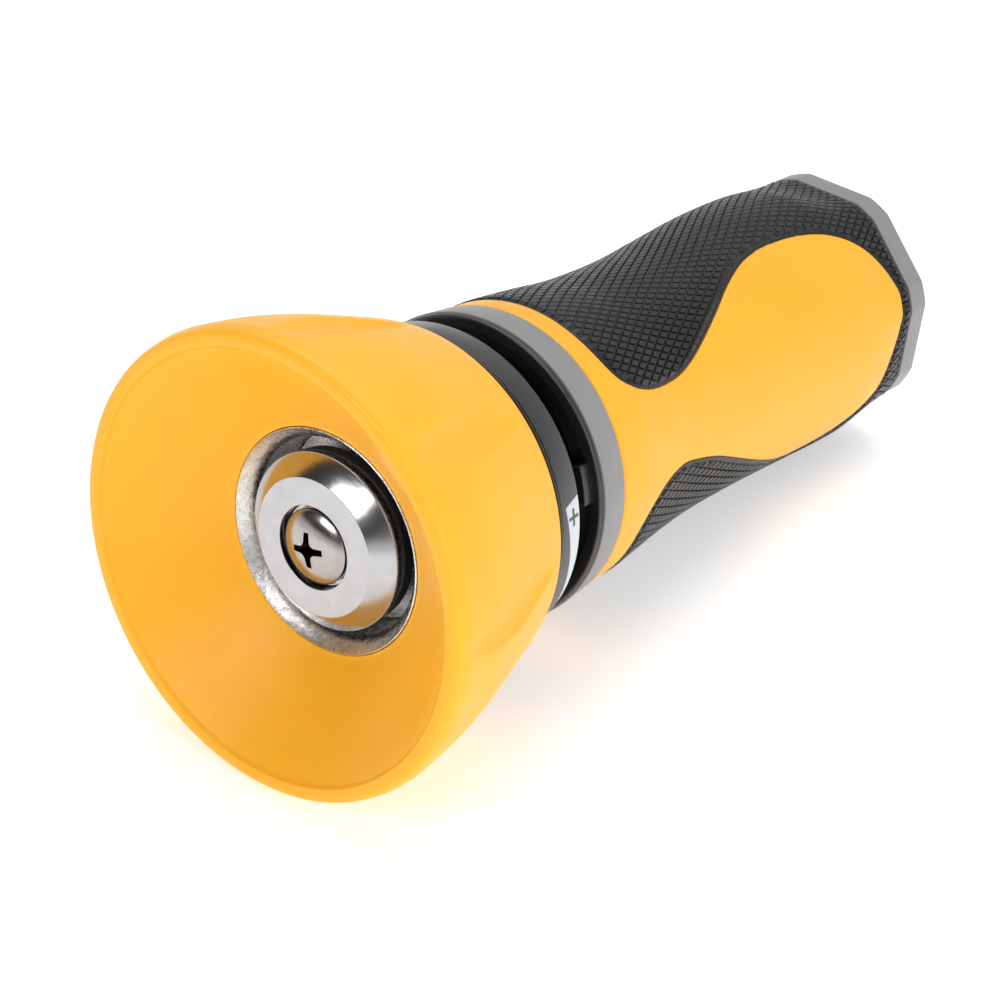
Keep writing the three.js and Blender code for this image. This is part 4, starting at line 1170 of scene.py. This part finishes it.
def camera():
    data = bpy.data.cameras.new("camera")
    data.lens = 90
    data.sensor_width = 36
    low, high = cad_box
    middle = (Vector(low) + Vector(high)) / 2
    level = math.cos(CAMERA_ELEVATION)
    east, north = -math.sin(CAMERA_AZIMUTH) * level, math.cos(CAMERA_AZIMUTH) * level
    forward = Vector((east, north, -math.sin(CAMERA_ELEVATION)))
    rotation = forward.to_track_quat("-Z", "Y") @ Quaternion((0, 0, 1), CAMERA_ROLL)
    right, up = rotation @ Vector((1, 0, 0)), rotation @ Vector((0, 1, 0))
    holder = in_scene("camera", data)
    holder.rotation_mode = "QUATERNION"
    holder.rotation_quaternion = rotation
    holder.location = middle + right * CAMERA_AIM[0] + up * CAMERA_AIM[1] - forward * CAMERA_DISTANCE
    bpy.context.scene.camera = holder


def softbox(name, place, size, power):
    """A rectangular soft light at a place, aimed at the nozzle."""
    data = bpy.data.lights.new(name, "AREA")
    data.shape = "RECTANGLE"
    data.size, data.size_y = size
    data.energy = power
    light = in_scene(name, data)
    light.location = place
    light.rotation_euler = (Vector((0, 0, 0.03)) - Vector(place)).to_track_quat("-Z", "Y").to_euler()


FRONT = (-0.26, -0.86, 0.44)  # the middle of the dark side of the studio, behind the camera


def studio():
    """Light walls and ceiling, darker behind the camera, with a pale band along the horizon."""
    world = bpy.data.worlds.new("studio")
    nodes = Nodes(world)
    way = nodes.coordinates.outputs["Generated"]
    toward = nodes.node("ShaderNodeVectorMath", operation="DOT_PRODUCT")
    toward.inputs[1].default_value = Vector(FRONT).normalized()
    nodes.link(way, toward.inputs[0])
    split = nodes.node("ShaderNodeSeparateXYZ")
    nodes.link(way, split.inputs["Vector"])
    walls = nodes.ranged(toward.outputs["Value"], 0.66, 0.05, (0.35, 0.75), "SMOOTHSTEP")
    horizon = nodes.ranged(split.outputs["Z"], 0.9, 0, (0.08, 0.2), "SMOOTHSTEP")
    brighter = nodes.node("ShaderNodeMath", operation="MAXIMUM")
    nodes.link(walls, brighter.inputs[0])
    nodes.link(horizon, brighter.inputs[1])
    background = nodes.tree.nodes["Background"]
    background.inputs["Color"].default_value = (1, 1, 1, 1)
    nodes.link(brighter.outputs["Value"], background.inputs["Strength"])
    bpy.context.scene.world = world


def lights():
    softbox("overhead", (-0.2, 0.3, 0.9), (0.9, 0.7), 3.8)
    softbox("front", (-0.02, -0.9, 0.68), (0.62, 0.28), 4.4)
    softbox("right", (0.9, -0.1, 0.5), (0.7, 0.6), 3.2)
    studio()
    bpy.context.scene.view_settings.view_transform = "Standard"


FLOOR_GLOW = 0.38  # the sheet is lit a little from below, which keeps its shadows pale


def floor():
    white = (1, 1, 1, 1)
    finish = Finish("paper", {"Roughness": 0.9, "Emission Color": white, "Emission Strength": FLOOR_GLOW})
    clouds = finish.ranged(finish.noise(0.05, detail=2), 0, 1)
    material = finish.into(base_color=finish.blend(clouds, (0.94, 0.94, 0.94), (0.92, 0.92, 0.92)))
    mesh = bpy.data.meshes.new("floor")
    reach = 3.0
    corners = [(-reach, -reach, 0), (reach, -reach, 0), (reach, reach, 0), (-reach, reach, 0)]
    mesh.from_pydata(corners, [], [(0, 1, 2, 3)])
    mesh.materials.append(material)
    sheet = in_scene("floor", mesh)
    sheet.location.z = cad_box[0][2] - 0.0001


camera()
lights()
floor()
bell()
outlet_barrel()
indicator_ring()
indicator_label()
tip_disc()
tip_gasket()
tip_screw()
valve_stem()
pointer_collar()
front_ring()
handle_shell()
grip("grip_upper", 1)
grip("grip_lower", -1)
end_cap()
inlet_insert()
hose_washer()
water_tube()
seal_ring("barrel_seal_front", 31, 12.55, 0.85)
seal_ring("barrel_seal_rear", 35.5, 12.55, 0.85)
seal_ring("inlet_seal", 138.6, 12.75, 0.5)
kept_nodes()
